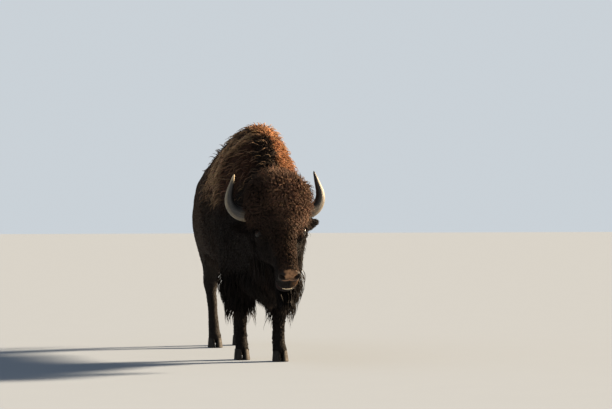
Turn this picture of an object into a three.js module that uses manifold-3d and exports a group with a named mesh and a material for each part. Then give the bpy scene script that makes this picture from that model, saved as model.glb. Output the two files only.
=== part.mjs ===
// A life-size bull plains bison, standing in a slow walk with its head low.
// Millimetres, +Z up. The bison faces -Y and its own left side is +X.
// The solids follow the outside of the coat. The flesh is one smooth body, given as a field that is
// negative inside, which is then parted by thin plane cuts into head, neck, trunk, legs and tail.

import * as THREE from "three";
import { mergeVertices } from "three/addons/utils/BufferGeometryUtils.js";
import Module from "manifold-3d";

const wasm = await Module();
wasm.setup();

// ---------------------------------------------------------------- driving sizes

const HUMP_HEIGHT = 1800; // floor to the top of the hump
const HUMP_LEAN = 12; // the hump's top is this far to the left of the middle
const CUT = 0.4; // half the gap between two nodes that a plane parts
const CLEARANCE = 2.5; // and the gap where a leg, the tail or the beard grows out of the body
const HEAD_PITCH = THREE.MathUtils.degToRad(53); // the face's slope below the horizontal
const HEAD_TURN = THREE.MathUtils.degToRad(1); // the head's turn to its right
const HEAD_TILT = THREE.MathUtils.degToRad(2.5); // the left side of the head is held higher
const NOSE = new THREE.Vector3(-8, -985, 722); // where the bridge of the nose ends

const EYE_RADIUS = 24;
const EYE_PLACE = [162, 366, -66]; // in the head's own frame
const HORN_LENGTH = 484; // along its centreline, with the stretch that is buried in the head
const HORN_ROOT = [112, 550, -60];
const EAR_LENGTH = 215;

const HOOF_HEIGHT = 82;
const HOOF_LENGTH = 128;
const HOOF_WIDTH = 58;
const TOE_GAP = 7;

// The legs go up into the trunk to these heights.
const FORELEG_TOP = 800;
const HINDLEG_TOP = 890;

// How far each foot stands ahead of the place where it would stand at rest.
const STRIDE = { fore_left: 120, fore_right: -90, hind_left: -110, hind_right: 110 };

// ---------------------------------------------------------------- fields

const mix = (a, b, t) => a + (b - a) * t;
const clamp = (v, low, high) => Math.min(high, Math.max(low, v));

// Union of two fields that fillets the crease between them by about `blend`.
function join(a, b, blend) {
  const near = Math.max(blend - Math.abs(a - b), 0) / blend;
  return Math.min(a, b) - (near * near * blend) / 4;
}

const joined = (a, b, blend) => (x, y, z) => join(a(x, y, z), b(x, y, z), blend);

// An ellipsoid, leaning by `lean` radians about X.
function ellipsoid([cx, cy, cz], [rx, ry, rz], lean = 0) {
  const cos = Math.cos(lean);
  const sin = Math.sin(lean);
  return (x, y, z) => {
    const px = x - cx;
    const py = cos * (y - cy) + sin * (z - cz);
    const pz = -sin * (y - cy) + cos * (z - cz);
    const reach = Math.hypot(px / rx, py / ry, pz / rz);
    const slope = Math.hypot(px / rx ** 2, py / ry ** 2, pz / rz ** 2);
    return reach < 1e-6 ? -Math.min(rx, ry, rz) : (reach * (reach - 1)) / slope;
  };
}

// A chain of round tapering links through [x, y, z, radius] joints.
function limb(joints, blend = 30) {
  const links = joints.slice(1).map((b, i) => [joints[i], b]);
  return (x, y, z) =>
    links.reduce((found, [a, b]) => {
      const [dx, dy, dz] = [b[0] - a[0], b[1] - a[1], b[2] - a[2]];
      const along = (x - a[0]) * dx + (y - a[1]) * dy + (z - a[2]) * dz;
      const t = clamp(along / (dx * dx + dy * dy + dz * dz), 0, 1);
      const off = Math.hypot(x - a[0] - dx * t, y - a[1] - dy * t, z - a[2] - dz * t);
      return join(found, off - mix(a[3], b[3], t), blend);
    }, 1e6);
}

// A body lofted along Y. Each row is [y, top, bottom, half width, level of the widest place,
// fullness], and every section is two half ovals that meet at that level. A fullness of 2 makes the
// upper one round, less makes it pointed, and more fills out its corners.
function loft(rows, fullBelow = 2.2) {
  const curves = [1, 2, 3, 4, 5].map((column) => smooth(rows.map((row) => [row[0], row[column]])));
  const [first, last] = [rows[0][0], rows.at(-1)[0]];
  return (x, y, z) => {
    const at = clamp(y, first, last);
    const [top, bottom, half, level, fullAbove] = curves.map((curve) => curve(at));
    const rise = z - level;
    const tall = Math.max(rise > 0 ? top - level : level - bottom, 1);
    const wide = Math.max(half, 1);
    const full = rise > 0 ? fullAbove : fullBelow;
    const reach = (Math.abs(x / wide) ** full + Math.abs(rise / tall) ** full) ** (1 / full);
    const slope = Math.hypot(x / wide ** 2, rise / tall ** 2) / Math.max(reach, 1e-3);
    const side = reach < 1e-3 ? -Math.min(wide, tall) : (reach - 1) / Math.max(slope, 1e-6);
    return y === at ? side : Math.hypot(Math.max(side, 0), y - at);
  };
}

// A curve through [place, value] points with a continuous slope that never overshoots them.
function smooth(points) {
  const rise = points.slice(1).map(([x, v], i) => (v - points[i][1]) / (x - points[i][0]));
  const slopes = points.map((_, i) => {
    const [before, after] = [rise[i - 1] ?? rise[i], rise[i] ?? rise[i - 1]];
    return before * after <= 0 ? 0 : (2 * before * after) / (before + after);
  });
  return (x) => {
    const last = points.length - 2;
    const i = clamp(points.findIndex(([place]) => place > x) - 1, 0, last);
    const k = x >= points[last + 1][0] ? last : i;
    const width = points[k + 1][0] - points[k][0];
    const t = clamp((x - points[k][0]) / width, 0, 1);
    return (
      points[k][1] * (1 + 2 * t) * (1 - t) ** 2 +
      points[k + 1][1] * t * t * (3 - 2 * t) +
      width * (slopes[k] * t * (1 - t) ** 2 + slopes[k + 1] * t * t * (t - 1))
    );
  };
}

// ---------------------------------------------------------------- trunk and neck

// From the back of the head to the buttocks. The hump is pointed above and the loins are full.
const trunk = loft([
  [-690, 1290, 780, 160, 1050, 2.1],
  [-560, 1392, 690, 222, 1040, 2.1],
  [-400, 1500, 640, 260, 1045, 2],
  [-210, 1650, 600, 294, 1055, 1.95],
  [-20, 1762, 585, 328, 1070, 1.9],
  [120, HUMP_HEIGHT, 588, 348, 1085, 1.95],
  [300, 1788, 598, 362, 1080, 2],
  [500, 1722, 610, 375, 1080, 2.15],
  [700, 1628, 618, 384, 1090, 2.5],
  [900, 1532, 634, 382, 1100, 2.8],
  [1090, 1462, 676, 350, 1100, 2.8],
  [1270, 1418, 738, 306, 1100, 2.6],
  [1420, 1392, 800, 276, 1090, 2.4],
  [1560, 1340, 860, 242, 1080, 2.3],
  [1670, 1262, 915, 192, 1075, 2.1],
  [1735, 1160, 990, 112, 1075, 2],
]);

// Hair that hangs below the throat and the brisket, and the tuft under the belly.
const brisket = ellipsoid([0, -230, 625], [142, 240, 215], -0.2);
const bellyTuft = ellipsoid([0, 900, 640], [60, 110, 75], 0.2);

// The withers carry the hump's ridge, narrower than the ribs below it.
const shoulder = (side) => ellipsoid([side * 165, 10, 1010], [160, 215, 400], -0.12);
const thigh = (side, step) =>
  ellipsoid([side * 150, 1450 - step * 0.2, 1000], [125, 215, 330], 0.12);

// ---------------------------------------------------------------- legs

// Long hair on the forearm ends above the knee. `step` moves the foot forward, and `foot` is the
// place of its middle at rest.
function foreleg(side, step, [across, along]) {
  const ahead = (share) => -step * share;
  const inward = (share) => side * mix(186, across, share);
  return [[
    [inward(0), 40 + ahead(0.1), 900, 122],
    [inward(0.1), 45 + ahead(0.35), 700, 138],
    [inward(0.4), 20 + ahead(0.55), 560, 120],
    [inward(0.75), along + 52 + ahead(0.7), 450, 86],
    [inward(0.9), along + 50 + ahead(0.82), 350, 54],
    [inward(0.95), along + 50 + ahead(0.88), 280, 49],
    [inward(1), along + 50 + ahead(0.96), 190, 51],
    [inward(1), along + 34 + ahead(1), 118, 57],
  ]];
}

function hindleg(side, step, [across, along]) {
  const ahead = (share) => -step * share;
  const inward = (share) => side * mix(150, across, share);
  const hock = [inward(0.7), along + 140 + ahead(0.7), 520, 60];
  return [
    [
      [inward(0), along + 54 + ahead(0.1), 1000, 112],
      [side * 146, along - 80 + ahead(0.3), 810, 97],
      [inward(0.5), along + 50 + ahead(0.55), 650, 69],
      hock,
      [inward(0.85), along + 104 + ahead(0.82), 380, 47],
      [inward(1), along + 66 + ahead(0.95), 200, 48],
      [inward(1), along + 38 + ahead(1), 118, 55],
    ],
    [
      [side * 120, along + 190 + ahead(0.1), 1000, 96],
      [side * 138, along + 160 + ahead(0.3), 800, 84],
      [inward(0.55), along + 140 + ahead(0.6), 610, 58],
      hock,
    ],
  ];
}

const FORE_FOOT = { left: [104, -50], right: [146, -50] };
const HIND_FOOT = { left: [124, 1376], right: [124, 1376] };

// ---------------------------------------------------------------- tail

const tailBone = limb([
  [0, 1715, 1200, 36],
  [6, 1785, 1130, 32],
  [10, 1806, 960, 25],
  [14, 1800, 800, 22],
  [16, 1796, 720, 22],
], 12);
const tailTuft = limb([
  [16, 1796, 720, 30],
  [18, 1796, 640, 46],
  [20, 1798, 560, 40],
  [22, 1800, 470, 10],
], 20);

// ---------------------------------------------------------------- head

// The head's own frame: X to its left, Y from the nose to the poll, Z out of the face.
const headFrame = new THREE.Object3D();
headFrame.position.copy(NOSE);
headFrame.rotation.set(HEAD_PITCH, -HEAD_TILT, -HEAD_TURN, "ZYX");
headFrame.updateMatrixWorld(true);
const intoHead = headFrame.matrixWorld.clone().invert();

// y from the nose, face, underside of the dropped jaw, half width, level of the widest place.
const skull = loft([
  [-54, -90, -150, 24, -116, 2],
  [-46, -70, -192, 52, -112, 2],
  [-36, -54, -248, 66, -108, 2.1],
  [-18, -30, -282, 79, -108, 2.2],
  [0, -14, -298, 84, -108, 2.2],
  [20, -4, -306, 87, -108, 2.2],
  [60, 6, -310, 87, -106, 2.2],
  [140, 12, -300, 87, -106, 2.2],
  [220, 22, -294, 99, -108, 2.2],
  [300, 34, -302, 124, -112, 2.2],
  [370, 46, -318, 146, -116, 2.2],
  [450, 64, -326, 172, -120, 2.2],
  [540, 84, -322, 184, -118, 2.2],
  [630, 84, -290, 172, -110, 2.2],
  [720, 40, -230, 130, -90, 2.2],
], 2.2);

// The woolly cap between the horns, the brows over the eyes and the jowls.
const cap = ellipsoid([0, 606, 24], [252, 230, 178]);
const forelock = ellipsoid([0, 440, 26], [150, 160, 86]);
const brow = (side) => ellipsoid([side * 126, 408, -34], [42, 58, 40]);
const jowl = (side) => ellipsoid([side * 84, 350, -190], [92, 150, 104], 0.25);
const nostril = (side) => ellipsoid([side * 54, -14, -58], [32, 34, 36]);

function headField(x, y, z) {
  const e = intoHead.elements;
  const lx = e[0] * x + e[4] * y + e[8] * z + e[12];
  const ly = e[1] * x + e[5] * y + e[9] * z + e[13];
  const lz = e[2] * x + e[6] * y + e[10] * z + e[14];
  let d = skull(lx, ly, lz);
  d = join(d, cap(lx, ly, lz), 60);
  d = join(d, forelock(lx, ly, lz), 50);
  for (const side of [-1, 1]) {
    d = join(d, brow(side)(lx, ly, lz), 24);
    d = join(d, jowl(side)(lx, ly, lz), 50);
    d = join(d, nostril(side)(lx, ly, lz), 16);
  }
  return d;
}

// The beard hangs straight down from the chin and the throat.
const beard = joined(
  limb([
    [0, -735, 640, 84],
    [2, -755, 560, 78],
    [6, -775, 480, 54],
    [8, -786, 408, 20],
  ]),
  limb([
    [0, -590, 740, 130],
    [0, -650, 610, 104],
    [0, -700, 500, 62],
  ]),
  110,
);

// ---------------------------------------------------------------- the whole flesh

const LEGS = [
  ["fore_left", 1, foreleg, FORE_FOOT.left],
  ["fore_right", -1, foreleg, FORE_FOOT.right],
  ["hind_left", 1, hindleg, HIND_FOOT.left],
  ["hind_right", -1, hindleg, HIND_FOOT.right],
];
const legChains = LEGS.map(([name, side, shape, foot]) => shape(side, STRIDE[name], foot));
const legFields = legChains.map((chains) =>
  chains.map((joints) => limb(joints)).reduce((a, b) => joined(a, b, 40)));
const muscles = [-1, 1].flatMap((side) => [
  shoulder(side),
  thigh(side, STRIDE[side > 0 ? "hind_left" : "hind_right"]),
]);

function torsoField(x, y, z) {
  let d = trunk(x - HUMP_LEAN * clamp((z - 1000) / 800, 0, 1), y, z);
  for (const muscle of muscles) d = join(d, muscle(x, y, z), 110);
  d = join(d, brisket(x, y, z), 90);
  d = join(d, bellyTuft(x, y, z), 50);
  return join(d, headField(x, y, z), 70);
}

// ---------------------------------------------------------------- from field to solid

// Distance from a place inside the field to its surface, along a direction.
function reach(field, from, direction) {
  const [shortest, farthest, halvings] = [4, 1200, 12];
  const at = (far) => field(
    from.x + direction.x * far, from.y + direction.y * far, from.z + direction.z * far,
  );
  let [inside, outside] = [0, 0];
  while (outside < farthest) {
    const depth = -at(outside);
    if (depth < 0) break;
    inside = outside;
    outside += Math.max(depth * 0.7, shortest);
  }
  for (let i = 0; i < halvings; i++) {
    const half = (inside + outside) / 2;
    if (at(half) < 0) inside = half;
    else outside = half;
  }
  return (inside + outside) / 2;
}

// A closed mesh on the surface of a field, found by rays that leave a bent axis. The rays fan out
// round both ends of the axis. `tall` over 1 crowds them towards the top and bottom of each ring,
// and `grow` lengthens them all.
function cast(field, axis, { rings, sides, fans = 3, tall = 1, grow = 0 }) {
  const curve = new THREE.CatmullRomCurve3(axis.map((p) => new THREE.Vector3(...p)));
  const fan = (n) => (n / fans) * (Math.PI / 2);
  const rows = [];
  for (let n = fans - 1; n > 0; n--) rows.push([0, -fan(n)]);
  for (let n = 0; n <= rings; n++) rows.push([n / rings, 0]);
  for (let n = 1; n < fans; n++) rows.push([1, fan(n)]);
  return tube(rows.length - 1, sides, (share, angle) => {
    const [along, tilt] = rows[Math.round(share * (rows.length - 1))];
    const forward = curve.getTangent(along);
    const across = new THREE.Vector3(1, 0, 0).addScaledVector(forward, -forward.x).normalize();
    const up = new THREE.Vector3().crossVectors(forward, across);
    const ray = across.multiplyScalar(Math.cos(angle)).addScaledVector(up, Math.sin(angle) * tall);
    ray.normalize().multiplyScalar(Math.cos(tilt)).addScaledVector(forward, Math.sin(tilt));
    const from = curve.getPoint(along);
    return from.addScaledVector(ray, reach(field, from, ray) + grow).toArray();
  });
}

// A closed tube of rings: place(t, angle) gives its points for t from 0 to 1.
function tube(rings, sides, place) {
  const points = [];
  for (let i = 0; i <= rings; i++)
    for (let j = 0; j < sides; j++) points.push(place(i / rings, (j / sides) * 2 * Math.PI));
  const index = [];
  for (let i = 0; i < rings; i++)
    for (let j = 0; j < sides; j++) {
      const [a, b] = [i * sides + j, i * sides + ((j + 1) % sides)];
      index.push(a, b, b + sides, a, b + sides, a + sides);
    }
  for (const end of [0, rings]) {
    const ring = points.slice(end * sides, (end + 1) * sides);
    const middle = [0, 1, 2].map((axis) => ring.reduce((sum, p) => sum + p[axis], 0) / sides);
    const hub = points.push(middle) - 1;
    for (let j = 0; j < sides; j++) {
      const [a, b] = [end * sides + j, end * sides + ((j + 1) % sides)];
      index.push(...(end ? [hub, a, b] : [hub, b, a]));
    }
  }
  const geometry = new THREE.BufferGeometry();
  geometry.setAttribute("position", new THREE.Float32BufferAttribute(points.flat(), 3));
  geometry.setIndex(index);
  return geometry;
}

// The same mesh with its faces turned the other way out, as a mirrored copy needs.
function turnedOut(geometry) {
  const index = geometry.index.array;
  for (let i = 0; i < index.length; i += 3) [index[i], index[i + 1]] = [index[i + 1], index[i]];
  return geometry;
}

function solid(geometry, matrix) {
  const bare = geometry.clone();
  bare.deleteAttribute("normal");
  bare.deleteAttribute("uv");
  if (matrix) bare.applyMatrix4(matrix);
  const merged = mergeVertices(bare, 1e-3);
  return new wasm.Manifold(
    new wasm.Mesh({
      numProp: 3,
      vertProperties: merged.attributes.position.array,
      triVerts: new Uint32Array(merged.index.array),
    }),
  );
}

function geometryFrom(manifold) {
  const mesh = manifold.getMesh();
  const geometry = new THREE.BufferGeometry();
  geometry.setAttribute("position", new THREE.Float32BufferAttribute(mesh.vertProperties, 3));
  geometry.setIndex([...mesh.triVerts]);
  geometry.computeVertexNormals();
  return geometry;
}

// Everything on the side of a plane that its normal points to, as a large block.
function side(point, normal, gap = CUT) {
  const reach = 4000;
  const out = new THREE.Vector3(...normal).normalize();
  const turn = new THREE.Quaternion().setFromUnitVectors(new THREE.Vector3(0, 0, 1), out);
  const middle = new THREE.Vector3(...point).addScaledVector(out, reach / 2 + gap);
  const matrix = new THREE.Matrix4().compose(middle, turn, new THREE.Vector3(1, 1, 1));
  return solid(new THREE.BoxGeometry(reach, reach, reach), matrix);
}

// ---------------------------------------------------------------- materials

const finish = (color, roughness) =>
  new THREE.MeshStandardMaterial({ color, roughness, metalness: 0, flatShading: true });
const woolMaterial = finish(0x6b4a30, 0.95);
const darkHairMaterial = finish(0x2b1f19, 0.95);
const hideMaterial = finish(0x4a3527, 0.9);
const hornMaterial = finish(0x4d4943, 0.45);
const hoofMaterial = finish(0x2c2723, 0.6);
const eyeMaterial = finish(0x140d09, 0.1);

const bison = new THREE.Group();
function add(name, shape, material) {
  const mesh = new THREE.Mesh(geometryFrom(shape), material);
  mesh.name = name;
  bison.add(mesh);
}

// ---------------------------------------------------------------- horns, ears and eyes

const inHead = (shape) => shape.applyMatrix4(headFrame.matrixWorld);
const mirrored = (geometry) => turnedOut(geometry.clone().scale(-1, 1, 1));

// The horn leaves the side of the skull, sweeps out and a little back, then turns up and in.
// Its heading turns from just under level to past upright as it goes, in the head's own frame.
function hornGeometry(grow) {
  const rings = 12;
  const samples = 60;
  const upright = new THREE.Vector3(0, Math.sin(HEAD_PITCH), Math.cos(HEAD_PITCH));
  const ahead = new THREE.Vector3(0, -Math.cos(HEAD_PITCH), Math.sin(HEAD_PITCH));
  const out = new THREE.Vector3(1, 0, 0);
  const line = [new THREE.Vector3(...HORN_ROOT)];
  const heading = (t) =>
    THREE.MathUtils.degToRad(mix(-10, 106, THREE.MathUtils.smoothstep(t, 0.1, 0.78)));
  for (let i = 0; i < samples; i++) {
    const angle = heading((i + 0.5) / samples);
    const step = out.clone().multiplyScalar(Math.cos(angle));
    step.addScaledVector(upright, Math.sin(angle));
    step.addScaledVector(ahead, mix(-0.3, 0.12, i / samples)).normalize();
    line.push(line.at(-1).clone().addScaledVector(step, HORN_LENGTH / samples));
  }
  const curve = new THREE.CatmullRomCurve3(line);
  return tube(rings, 10, (t, angle) => {
    const centre = curve.getPoint(t);
    const forward = curve.getTangent(t);
    const across = new THREE.Vector3().crossVectors(ahead, forward).normalize();
    const depth = new THREE.Vector3().crossVectors(forward, across);
    const radius = 63 * (1 - t) ** 0.8 + 4 + grow;
    centre.addScaledVector(forward, mix(-grow, grow, t));
    centre.addScaledVector(across, Math.cos(angle) * radius);
    centre.addScaledVector(depth, Math.sin(angle) * radius * 0.92);
    return centre.toArray();
  });
}

// A leaf-shaped ear that points out, back and a little down, with a shallow cup in its front.
function earGeometry(grow) {
  const root = new THREE.Vector3(128, 488, -176);
  const along = new THREE.Vector3(0.92, 0.34, -0.22).normalize();
  const face = new THREE.Vector3(0.1, -0.75, 0.65);
  face.addScaledVector(along, -face.dot(along)).normalize();
  const across = new THREE.Vector3().crossVectors(face, along);
  return tube(7, 10, (t, angle) => {
    const width = 50 * Math.sin(Math.PI * (0.16 + 0.8 * t)) ** 0.8 + grow;
    const thick = 15 * (1 - 0.45 * t) + grow;
    const sideways = Math.cos(angle) * width;
    const cup = t > 0.25 ? 9 * Math.max(Math.sin(angle), 0) * Math.sin(Math.PI * t) : 0;
    const depth = Math.sin(angle) * thick - cup + (sideways / 50) ** 2 * 12 * t;
    return root
      .clone()
      .addScaledVector(along, t * EAR_LENGTH + mix(-grow, grow, t))
      .addScaledVector(across, sideways)
      .addScaledVector(face, depth)
      .toArray();
  });
}

function eyeGeometry(grow) {
  const ball = new THREE.SphereGeometry(EYE_RADIUS + grow, 12, 8);
  return ball.translate(...EYE_PLACE);
}

const headPieces = [
  ["horn", hornGeometry, hornMaterial],
  ["ear", earGeometry, darkHairMaterial],
  ["eye", eyeGeometry, eyeMaterial],
];
const sockets = [];
for (const [name, shape, material] of headPieces) {
  const [exact, grown] = [shape(0), shape(1)];
  for (const [label, turned] of [["left", (g) => g], ["right", mirrored]]) {
    add(`${name}_${label}`, solid(inHead(turned(exact).clone())), material);
    sockets.push(solid(inHead(turned(grown).clone())));
  }
}

// ---------------------------------------------------------------- parting the flesh

// Where one named stretch of the body ends and the next begins.
const nape = { point: [0, -545, 1050], normal: [0, -1, 0.14] }; // the head is ahead of it
const collar = { point: [0, -250, 1050], normal: [0, -1, 0.1] }; // the neck is ahead of it
const girth = { point: [0, 560, 1000], normal: [0, -1, 0] }; // the hump is ahead of it
const loin = { point: [0, 1120, 1000], normal: [0, -1, 0] }; // the barrel is ahead of it
const tuftTop = { point: [0, 1800, 735], normal: [0, 0, -1] }; // the tail's tuft is below it

const ahead = ({ point, normal }) => side(point, normal);
const behind = ({ point, normal }) => side(point, normal.map((v) => -v));

// Slivers that a cut leaves are dropped, and so are those held only by the mesh's rounding.
function trim(shape, keep, drop = []) {
  for (const cutter of keep) shape = shape.intersect(cutter);
  for (const cutter of drop) shape = shape.subtract(cutter);
  const largest = (all) => all.decompose().sort((a, b) => b.volume() - a.volume())[0];
  return largest(solid(geometryFrom(largest(shape))));
}

// The torso is one body from the head to the tail. What meets it is cut by a slightly larger one.
const spine = [[0, -700, 1040], [0, -200, 1040], [0, 500, 1050], [0, 1100, 1060], [0, 1480, 1090]];
const torsoRays = { rings: 28, sides: 28, tall: 1.7 };
const torso = solid(cast(torsoField, spine, torsoRays));
const aroundTorso = solid(cast(torsoField, spine, { ...torsoRays, grow: CLEARANCE }));
const tailAxis = [[0, 1720, 1195], [6, 1785, 1130], [10, 1806, 960], [14, 1800, 800], [16, 1796, 735]];
const tailShape = { rings: 12, sides: 8, fans: 2 };
const tailSocket = solid(cast(tailBone, tailAxis, { ...tailShape, grow: CLEARANCE }));

add("neck", trim(torso, [behind(nape), ahead(collar)], sockets), woolMaterial);
add("hump", trim(torso, [behind(collar), ahead(girth)]), woolMaterial);
add("barrel", trim(torso, [behind(girth), ahead(loin)]), hideMaterial);
add("rump", trim(torso, [behind(loin)], [tailSocket]), hideMaterial);
add("tail", trim(solid(cast(tailBone, tailAxis, tailShape)), [behind(tuftTop)]), hideMaterial);

const tuftAxis = [[16, 1796, 715], [18, 1796, 640], [20, 1798, 560], [22, 1800, 480]];
const tuft = solid(cast(tailTuft, tuftAxis, { rings: 6, sides: 8, fans: 2 }));
add("tail_tuft", trim(tuft, [ahead(tuftTop)]), darkHairMaterial);

// The gap between the lips: open in front, closing at the corners of the mouth.
function mouthGap() {
  const profile = new THREE.Shape([
    [-90, -184], [-30, -182], [40, -176], [112, -170],
    [116, -178], [60, -210], [0, -224], [-90, -234],
  ].map((p) => new THREE.Vector2(...p)));
  const slab = new THREE.ExtrudeGeometry(profile, { depth: 300, bevelEnabled: false });
  slab.applyMatrix4(new THREE.Matrix4().set(0, 0, 1, -150, 1, 0, 0, 0, 0, 1, 0, 0, 0, 0, 0, 1));
  return solid(inHead(slab));
}

const faceAxis = [[0, 10, -90], [0, 200, -100], [0, 420, -110], [0, 640, -110]];
const faceRays = { rings: 20, sides: 24, fans: 4, tall: 1.2 };
const faceLine = faceAxis.map((p) =>
  new THREE.Vector3(...p).applyMatrix4(headFrame.matrixWorld).toArray());
const face = solid(cast(torsoField, faceLine, faceRays));
const aroundFace = solid(cast(torsoField, faceLine, { ...faceRays, grow: CLEARANCE }));
add("head", trim(face, [ahead(nape)], [...sockets, mouthGap()]), darkHairMaterial);

const beardAxis = [[0, -710, 680], [2, -720, 590], [5, -745, 500], [8, -775, 440]];
const beardSolid = solid(cast(beard, beardAxis, { rings: 6, sides: 10 }));
add("beard", trim(beardSolid, [], [aroundFace, aroundTorso]), darkHairMaterial);

for (const [n, [name, sign]] of LEGS.entries()) {
  const rear = name.startsWith("hind");
  const axis = legChains[n][0].map(([x, y, z]) => [x, y, z]);
  const filleted = joined(legFields[n], torsoField, 45);
  const field = (x, y, z) => Math.max(filleted(x, y, z), legFields[n](x, y, z) - 40);
  const whole = solid(cast(field, axis, { rings: 15, sides: 12, fans: 2 }));
  const top = rear ? HINDLEG_TOP : FORELEG_TOP;
  const ends = [side([0, 0, HOOF_HEIGHT], [0, 0, 1]), side([0, 0, top], [0, 0, -1])];
  add(`${rear ? "hindleg" : "foreleg"}_${sign > 0 ? "left" : "right"}`,
    trim(whole, ends, [aroundTorso]), rear ? hideMaterial : darkHairMaterial);
}

// ---------------------------------------------------------------- hooves and dewclaws

// One toe: flat below, straight on its inner side, with a sloping front wall and a rounded outer.
function toeGeometry(sign) {
  return tube(2, 14, (t, angle) => {
    const shrink = mix(1, 0.74, t);
    const outward = Math.cos(angle);
    const wide = outward > 0 ? HOOF_WIDTH * 0.62 : HOOF_WIDTH * 0.38;
    const long = (HOOF_LENGTH / 2) * (Math.sin(angle) < 0 ? 1.08 : 0.92);
    const point = Math.sin(angle) < 0 ? Math.abs(Math.sin(angle)) ** 3 * HOOF_WIDTH * 0.16 : 0;
    const x = outward * wide * shrink - point + HOOF_WIDTH * 0.38 + TOE_GAP / 2;
    const y = Math.sin(angle) * long * shrink + t * 16;
    return [sign * x, y, t * (HOOF_HEIGHT - CUT)];
  });
}

for (const [name, sign, , [across, along]] of LEGS)
  for (const toe of [1, -1]) {
    const shape = toeGeometry(toe);
    const hoof = toe < 0 ? turnedOut(shape) : shape;
    hoof.translate(sign * across, along - STRIDE[name], 0);
    const label = toe * sign > 0 ? "outer" : "inner";
    add(`hoof_${name}_${label}`, solid(hoof), hoofMaterial);
  }

// The origin is under the middle of the whole model, on the floor.
const box = new THREE.Box3().setFromObject(bison);
const middle = box.getCenter(new THREE.Vector3());
bison.position.set(-middle.x, -middle.y, -box.min.z);

export default bison;
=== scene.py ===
import math

import bmesh
import bpy
import numpy as np
from mathutils import Matrix, Vector
from mathutils.bvhtree import BVHTree


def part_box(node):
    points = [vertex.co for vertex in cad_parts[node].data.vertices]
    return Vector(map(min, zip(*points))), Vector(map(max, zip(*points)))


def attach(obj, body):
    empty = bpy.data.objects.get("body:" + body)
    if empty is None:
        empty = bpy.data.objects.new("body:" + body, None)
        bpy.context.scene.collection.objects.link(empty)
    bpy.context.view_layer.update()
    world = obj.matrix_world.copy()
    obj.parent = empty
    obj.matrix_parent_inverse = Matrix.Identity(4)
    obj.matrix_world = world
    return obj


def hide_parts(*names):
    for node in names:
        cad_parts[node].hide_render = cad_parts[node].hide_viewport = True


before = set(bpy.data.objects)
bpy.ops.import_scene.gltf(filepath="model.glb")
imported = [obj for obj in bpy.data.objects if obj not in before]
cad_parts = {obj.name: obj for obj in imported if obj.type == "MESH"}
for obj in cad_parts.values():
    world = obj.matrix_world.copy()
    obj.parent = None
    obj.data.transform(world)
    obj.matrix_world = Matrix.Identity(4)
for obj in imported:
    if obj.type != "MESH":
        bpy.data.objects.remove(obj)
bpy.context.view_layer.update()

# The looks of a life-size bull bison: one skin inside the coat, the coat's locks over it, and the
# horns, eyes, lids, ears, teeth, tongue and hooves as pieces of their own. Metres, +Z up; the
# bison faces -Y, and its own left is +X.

for unused in ("Cube", "Light", "Camera"):
    if unused in bpy.data.objects:
        bpy.data.objects.remove(bpy.data.objects[unused])

# ---------------------------------------------------------------- frames

# The head's own frame: X to its left, Y from the nose to the poll, Z out of the face.
HEAD_PITCH = math.radians(53)
HEAD_TURN = math.radians(1)
HEAD_TILT = math.radians(2.5)
HEAD_AXES = np.array(
    Matrix.Rotation(-HEAD_TURN, 3, "Z")
    @ Matrix.Rotation(-HEAD_TILT, 3, "Y")
    @ Matrix.Rotation(HEAD_PITCH, 3, "X")
)
EYE = np.array([0.162, 0.366, -0.066])  # the left eye's centre, in the head's frame
EYE_RADIUS = 0.024
NOSE_FROM_SHOULDER = np.array([-0.008, -0.985, 0.722])
LEGS = ("fore_left", "fore_right", "hind_left", "hind_right")


def halfway(*nodes):
    """The place between the middles of two nodes."""
    boxes = [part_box(node) for node in nodes]
    return sum(np.array((low + high) / 2) for low, high in boxes) / 2


NOSE = halfway("eye_left", "eye_right") - HEAD_AXES @ (EYE * [0, 1, 1])  # end of the bridge
SHOULDER = NOSE - NOSE_FROM_SHOULDER  # on the floor, under the middle of the shoulders
FEET = {leg: halfway(f"hoof_{leg}_inner", f"hoof_{leg}_outer") for leg in LEGS}


def in_body(points):
    return points - SHOULDER


def in_head(points):
    return (points - NOSE) @ HEAD_AXES


def from_head(points, side=1):
    """Places in the world of points on the left half of the head, or of their mirror images."""
    return np.asarray(points) * [side, 1, 1] @ HEAD_AXES.T + NOSE


# ---------------------------------------------------------------- numbers


def soft(low, high, value):
    """0 below low, 1 above high, and a smooth step between; low may be the larger one."""
    t = np.clip((value - low) / (high - low), 0, 1)
    return t * t * (3 - 2 * t)


def mix(a, b, t):
    """a where t is 0 and b where t is 1; one t serves all three numbers of a colour or place."""
    t = np.asarray(t)
    if t.ndim == 1 and (np.ndim(a) == 2 or np.shape(a) == (3,)):
        t = t[:, None]
    return a + (b - a) * t


def layered(value, *layers):
    """The value, with the value of each layer mixed over it by the layer's share."""
    for over, share in layers:
        value = mix(value, over, share)
    return value


def unit(vectors):
    return vectors / np.maximum(np.linalg.norm(vectors, axis=-1, keepdims=True), 1e-9)


def dot(a, b):
    return (a * b).sum(-1)


def at_right_angles(axis, direction):
    """The unit vector at right angles to an axis that is nearest to a direction."""
    direction = np.array(direction)
    return unit(direction - axis * dot(direction, axis))


def row(x, y, z):
    """Vectors from three numbers or arrays."""
    return np.stack(np.broadcast_arrays(x, y, z), -1)


def placed(origin, *parts):
    """The origin moved along each axis by its amount."""
    for axis, amount in parts:
        origin = origin + axis * amount[..., None]
    return origin


def bell(value, middle, width):
    """1 in the middle, falling to nothing about 2 widths away."""
    return np.exp(-(((value - middle) / width) ** 2))


def bump(points, centre, radius):
    """A bell in three dimensions; radius may be one for each axis."""
    return np.exp(-(((points - centre) / radius) ** 2).sum(-1))


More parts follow.
